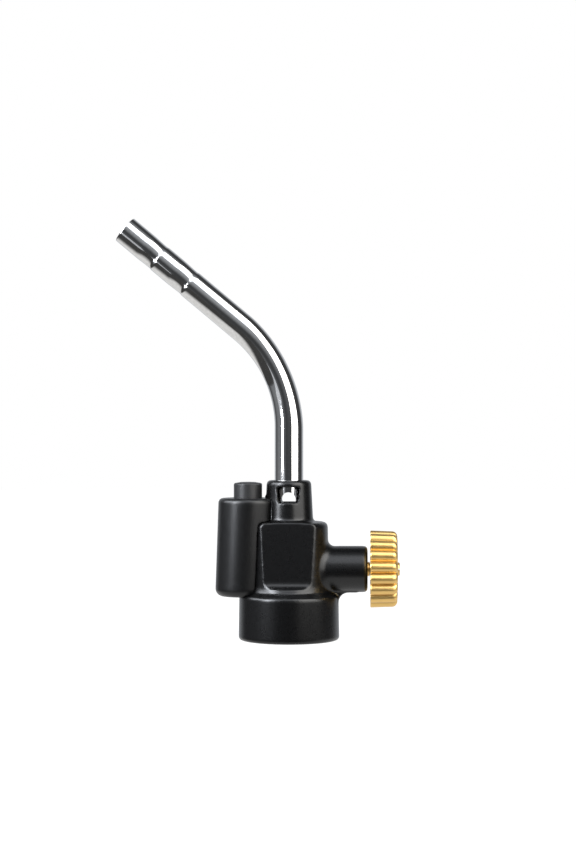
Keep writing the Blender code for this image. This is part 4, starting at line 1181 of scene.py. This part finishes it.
SCREW = Turning(
    "slotted_screw", "knob_screw", FINISHES.knob_brass, 56, False,
    (
        (0.0, 0.0369, 0.0), (0.0012, 0.0369, 0.0003), (0.0012, 0.0448, 0.0),
        (0.0028, 0.0448, 0.0001), (0.0028, 0.04645, 0.0005), (0.0, 0.04645, 0.0),
    ),
)
STEM = Turning(
    "valve_spindle", "valve_stem", FINISHES.brass, 48, False,
    (
        (0.0, 0.0093, 0.0), (0.0019, 0.0093, 0.0), (0.0019, 0.0048, 0.0), (0.0030, 0.0048, 0.0003),
        (0.0030, 0.0170, 0.0), (0.0018, 0.0170, 0.0), (0.0018, 0.0195, 0.0), (0.0030, 0.0195, 0.0),
        (0.0030, 0.03385, 0.0002), (0.0024, 0.03385, 0.0), (0.0024, 0.0424, 0.0), (0.0015, 0.0424, 0.0),
        (0.0015, 0.0366, 0.0), (0.0, 0.0366, 0.0),
    ),
)
GLAND = Turning(
    "gland", "gland_nut", FINISHES.brass, 64, True,
    ((0.0033, 0.0226, 0.0), (0.0060, 0.0226, 0.0), (0.0060, 0.0326, 0.0004), (0.0033, 0.0326, 0.0003)),
)


@dataclass
class GasValve:
    """The fluted knob with its screw, the stem and the gland nut."""

    knob_radius: float = 0.0162
    knob_start: float = 0.03415
    knob_end: float = 0.0454
    knob_sharp: float = math.radians(28)
    back_share: float = 0.99
    back_round: tuple = ((0.00018, 0.997), (0.00045, 1.0))
    side_shares: tuple = (0.3, 0.65)
    rim_round: float = 0.0022
    rim_steps: int = 10
    draft: float = 0.0003
    flutes: int = 18
    flute_depth: float = 0.0019
    ridge_power: float = 2.3
    ridge_steps: int = 20
    phase: float = math.radians(-7.3)
    bore_start: float = 0.03355
    bore_steps: tuple = ((0.0027, 0.0427), (0.0015, 0.0445), (0.0031, 0.0452))
    bore_mouth: tuple = ((0.0036, 0.0460), (0.0, 0.0460))
    screw_end: float = 0.04645
    screw_slot: Corner = (0.0016, 0.01, 0.0008)
    gland_end: float = 0.0326
    gland_slot: Corner = (0.0024, 0.018, 0.0016)

    def flute_ring(self) -> BMesh:
        """Draw the knob's fluted outline from one rounded ridge."""
        pitch = math.tau / self.flutes
        points = []
        for index in range(self.ridge_steps + 1):
            share = index / self.ridge_steps - 0.5
            angle = self.phase - math.pi / 2 + pitch * share
            reach = self.knob_radius - self.flute_depth * abs(2 * share) ** self.ridge_power
            points.append((reach * math.cos(angle), reach * math.sin(angle), self.knob_start))
        bm = bmesh.new()
        strung(bm, points, False)
        copies = self.flutes - 1
        spun(bm, math.tau * copies / self.flutes, copies, use_duplicate=True)
        bmesh.ops.remove_doubles(bm, verts=bm.verts, dist=WELD)
        return bm

    def sections(self) -> list[tuple[float, float]]:
        """Give the knob's sections from its back to its rounded rim.

        Returns:
            Each section's distance from the back and its share of the full size.
        """
        length = self.knob_end - self.knob_start
        sections = list(self.back_round)
        for share in self.side_shares:
            sections.append((share * (length - self.rim_round), 1.0 - share * self.draft / self.knob_radius))
        for index in range(self.rim_steps + 1):
            angle = math.pi / 2 * index / self.rim_steps
            fall = self.draft + self.rim_round * (1 - math.cos(angle))
            rise = length - self.rim_round * (1 - math.sin(angle))
            sections.append((rise, 1 - fall / self.knob_radius))
        return sections

    def knob(self) -> None:
        """Make the knob from its fluted outline, with a rounded outer rim."""
        bm = self.flute_ring()
        size = self.back_share
        bmesh.ops.scale(bm, vec=(size, size, 1.0), verts=bm.verts)
        back = bm.edges[:]
        edges = back
        height = 0.0
        for rise, share in self.sections():
            edges = pushed(bm, edges, Vector((0.0, 0.0, rise - height)))
            bmesh.ops.scale(bm, vec=(share / size, share / size, 1.0), verts=ring_of(edges))
            height = rise
            size = share
        bmesh.ops.contextual_create(bm, geom=edges)
        bmesh.ops.contextual_create(bm, geom=back)
        knob = loose("fluted_knob", placed(tidied(bm), VALVE_PLACE))
        bore = stepped(self.bore_start, *self.bore_steps)[:-1] + plain(*self.bore_mouth)
        carved(knob, Cut.AWAY.by(placed(turned(bore, 64), VALVE_PLACE)))
        dressed(knob, FINISHES.knob_brass, "control_knob", Body.KNOB, self.knob_sharp)

    def build(self) -> None:
        """Make the knob, the screw, the stem and the gland nut."""
        self.knob()
        slot = end_slot(self.screw_end, self.screw_slot)
        screw = SCREW.build(VALVE_PLACE, Body.KNOB, Cut.AWAY.by(slot), CRISP)
        STEM.build(VALVE_PLACE, Body.KNOB)
        GLAND.build(VALVE_PLACE, cuts=Cut.AWAY.by(end_slot(self.gland_end, self.gland_slot)))


def heading(azimuth: float, elevation: float) -> Vector:
    """Give a direction as a vector.

    Args:
        azimuth: The angle round the torch, in degrees from the front towards +X.
        elevation: The angle above the level, in degrees.

    Returns:
        The unit vector.
    """
    angle = math.radians(azimuth)
    rise = math.radians(elevation)
    level = math.cos(rise)
    return Vector((math.sin(angle) * level, -math.cos(angle) * level, math.sin(rise)))


@dataclass(frozen=True)
class Panel:
    """One soft light that faces the torch.

    Attributes:
        name: What it is called.
        azimuth: Where it stands round the torch, in degrees from the front towards +X.
        elevation: How far it stands above its level, in degrees.
        level: The height on the torch's axis that it faces.
        distance: How far off it stands from there.
        width: Its width.
        tall: Its height.
        radiance: How bright its face is.
        tint: Its colour.
    """

    name: str
    azimuth: float
    elevation: float
    level: float
    distance: float
    width: float
    tall: float
    radiance: float
    tint: Colour

    def build(self) -> None:
        """Set up the light in its place."""
        light = bpy.data.lights.new(self.name, "AREA")
        light.shape = "RECTANGLE"
        light.size = self.width
        light.size_y = self.tall
        light.energy = 4 * self.radiance * self.width * self.tall
        light.color = self.tint
        out = heading(self.azimuth, self.elevation)
        lamp = bpy.data.objects.new(self.name, light)
        lamp.location = out * self.distance + Vector((0.0, 0.0, self.level))
        lamp.rotation_euler = (-out).to_track_quat("-Z", "Y").to_euler()
        lamp.visible_camera = False
        bpy.context.scene.collection.objects.link(lamp)


@dataclass(frozen=True)
class Glow:
    """One soft patch of light on the wall of the room.

    Attributes:
        azimuth: Where it is round the torch, in degrees from the front towards +X.
        elevation: How high it is, in degrees.
        start: How near its middle the wall begins to glow, as the cosine of the angle.
        full: How near its middle the wall is brightest, as the cosine of the angle.
        radiance: How bright it is there.
    """

    azimuth: float
    elevation: float
    start: float
    full: float
    radiance: float


@dataclass(frozen=True)
class Studio:
    """The floor, the lights, the dim room that the metal mirrors, and the camera."""

    lens: float = 75.8
    sensor: float = 36.0
    distance: float = 0.764
    azimuth: float = 2.2
    target: Corner = (-0.0004, 0.0, 0.0871)
    floor_radius: float = 2.0
    floor_blot: float = 0.05
    floor_colours: tuple = ((0.10,) * 3, (0.11,) * 3)
    floor_glows: tuple = ((0.98,) * 3, (0.99,) * 3)
    floor_roughness: float = 0.8
    room_radius: float = 2.6
    room_light: float = 0.065
    low_card_size: float = 0.8
    low_card_level: float = -0.15
    low_card_left: float = -0.41
    low_card_slant: float = 0.375
    low_card_front: float = -0.26
    low_card_edge: float = 0.06
    low_card_light: float = 0.95
    glows: tuple = (
        Glow(-70.0, 0.0, 0.6, 1.0, 0.2),
        Glow(180.0, 0.0, 0.45, 0.85, 0.62),
        Glow(5.0, 51.0, 0.6, 1.0, 0.45),
    )
    panels: tuple = (
        Panel("right_softbox", 51.5, 0.0, 0.3925, 0.36, 0.372, 0.655, 2.7, WARM),
        Panel("right_card", 51.5, 0.0, 0.0475, 0.36, 0.372, 0.035, 2.2, WARM),
        Panel("left_softbox", -51.0, 0.0, 0.2825, 0.36, 0.080, 0.435, 15.0, COOL),
        Panel("left_card", -51.0, 0.0, 0.0425, 0.36, 0.21, 0.045, 0.45, COOL),
        Panel("high_left_softbox", -66.0, 32.0, 0.04, 0.5, 0.62, 0.26, 6.0, COOL),
        Panel("high_right_softbox", 55.0, 33.0, 0.04, 0.5, 0.34, 0.26, 1.6, WARM),
        Panel("upper_softbox", 4.0, 53.0, 0.03, 1.5, 1.0, 1.1, 1.45, COOL),
    )

    def floor(self) -> None:
        """Lay the pale floor that the camera sees."""
        bm = bmesh.new()
        bmesh.ops.create_circle(bm, cap_ends=True, segments=96, radius=self.floor_radius)
        floor = loose("floor", bm)
        net = Net("pale_floor")
        blots = net.noise(self.floor_blot, 4.0)
        inputs = {
            "Base Color": net.mix(blots, *self.floor_colours),
            "Roughness": self.floor_roughness,
            "Specular IOR Level": 0.0,
            "Emission Color": net.mix(blots, *self.floor_glows),
            "Emission Strength": 1.0,
        }
        floor.data.materials.append(net.finished("ShaderNodeBsdfPrincipled", inputs))
        floor.visible_glossy = False
        floor.visible_diffuse = False

    def lit(self, name: str, bm: BMesh, net: Net, glow: Wire) -> None:
        """Make a surround that only the torch's own surfaces see.

        Args:
            name: What it is called.
            bm: Its shape.
            net: The net of its material.
            glow: The colour of its light.
        """
        thing = loose(name, bm)
        material = net.finished("ShaderNodeEmission", {"Color": glow, "Strength": 1.0})
        material.cycles.emission_sampling = "NONE"
        thing.data.materials.append(material)
        thing.visible_camera = False
        thing.visible_shadow = False

    def low_card(self) -> None:
        """Make the pale card below, which lights the undersides."""
        bm = bmesh.new()
        bmesh.ops.create_grid(bm, x_segments=1, y_segments=1, size=self.low_card_size)
        bmesh.ops.translate(bm, vec=(0.0, 0.0, self.low_card_level), verts=bm.verts)
        net = Net("low_card_light")
        edge = self.low_card_edge
        slanted = net.along("X") + net.along("Y") * self.low_card_slant
        share = net.band(slanted, self.low_card_left - edge, self.low_card_left + edge)
        share = share * net.band(net.along("Y"), self.low_card_front - edge, self.low_card_front + edge)
        glow = self.room_light + share * (self.low_card_light - self.room_light)
        self.lit("low_card", bm, net, net.mix(glow, BLACK, WHITE))

    def room(self) -> None:
        """Make the dim room with its soft patches of light."""
        bm = bmesh.new()
        bmesh.ops.create_uvsphere(bm, u_segments=64, v_segments=32, radius=self.room_radius)
        net = Net("room_light")
        light: Value = self.room_light
        for glow in self.glows:
            towards = tuple(heading(glow.azimuth, glow.elevation) / self.room_radius)
            near = net.vector("DOT_PRODUCT", {0: net.place, 1: towards}, "Value")
            light = light + net.band(near, glow.start, glow.full) * glow.radiance
        self.lit("room", bm, net, net.mix(light, BLACK, ROOM_TINT))

    def world(self) -> None:
        """Make the white surroundings that the camera sees."""
        world = bpy.data.worlds.new("white")
        bpy.context.scene.world = world
        world.use_nodes = True
        sky = world.node_tree.nodes["Background"]
        sky.inputs["Color"].default_value = (*WHITE, 1.0)
        sky.inputs["Strength"].default_value = 1.0
        world.cycles_visibility.diffuse = False
        world.cycles_visibility.glossy = False

    def camera(self) -> None:
        """Set up the camera at the photograph's angle."""
        target = Vector(self.target)
        camera = bpy.data.objects.new("camera", bpy.data.cameras.new("camera"))
        camera.data.lens = self.lens
        camera.data.sensor_width = self.sensor
        camera.location = target + heading(self.azimuth, 0.0) * self.distance
        camera.rotation_euler = (target - camera.location).to_track_quat("-Z", "Y").to_euler()
        bpy.context.scene.collection.objects.link(camera)
        bpy.context.scene.camera = camera

    def build(self) -> None:
        """Set up the whole studio."""
        self.floor()
        self.low_card()
        self.room()
        self.world()
        self.camera()
        for panel in self.panels:
            panel.build()
        bpy.context.scene.view_settings.view_transform = "Standard"


INNER_PIECES: dict[Finish, tuple[str, ...]] = {
    FINISHES.bronze: ("inlet_filter",),
    FINISHES.silicone: ("ignition_lead",),
    FINISHES.natural: ("piezo_plunger", "gland_packing"),
    FINISHES.bare_steel: ("button_return_spring", "piezo_anvil", "piezo_hammer", "hammer_spring"),
    FINISHES.plastic: ("piezo_case",),
    FINISHES.brass: ("piezo_terminal", "valve_seat", "valve_needle"),
    FINISHES.ceramic: ("piezo_crystal",),
    FINISHES.rubber: ("stem_o_ring",),
}


def dress_inner_pieces() -> None:
    """Give the pieces inside the torch their finishes."""
    for finish, names in INNER_PIECES.items():
        for name in names:
            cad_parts[name].material_slots[0].material = material_of(finish)


def ease_springs() -> None:
    """Give each of the two springs its own copy of its mesh."""
    for name, end in SPRING_ENDS.items():
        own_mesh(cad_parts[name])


def main() -> None:
    """Build the studio and every piece of the torch."""
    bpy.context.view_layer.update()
    Studio().build()
    for assembly in (CastBody(), BurnerTube(), Igniter(), GasInlet(), GasValve()):
        assembly.build()
        LOG.info("%s built", type(assembly).__name__)
    dress_inner_pieces()
    ease_springs()


if __name__ == "__main__":
    logging.basicConfig(level=logging.INFO)
    main()
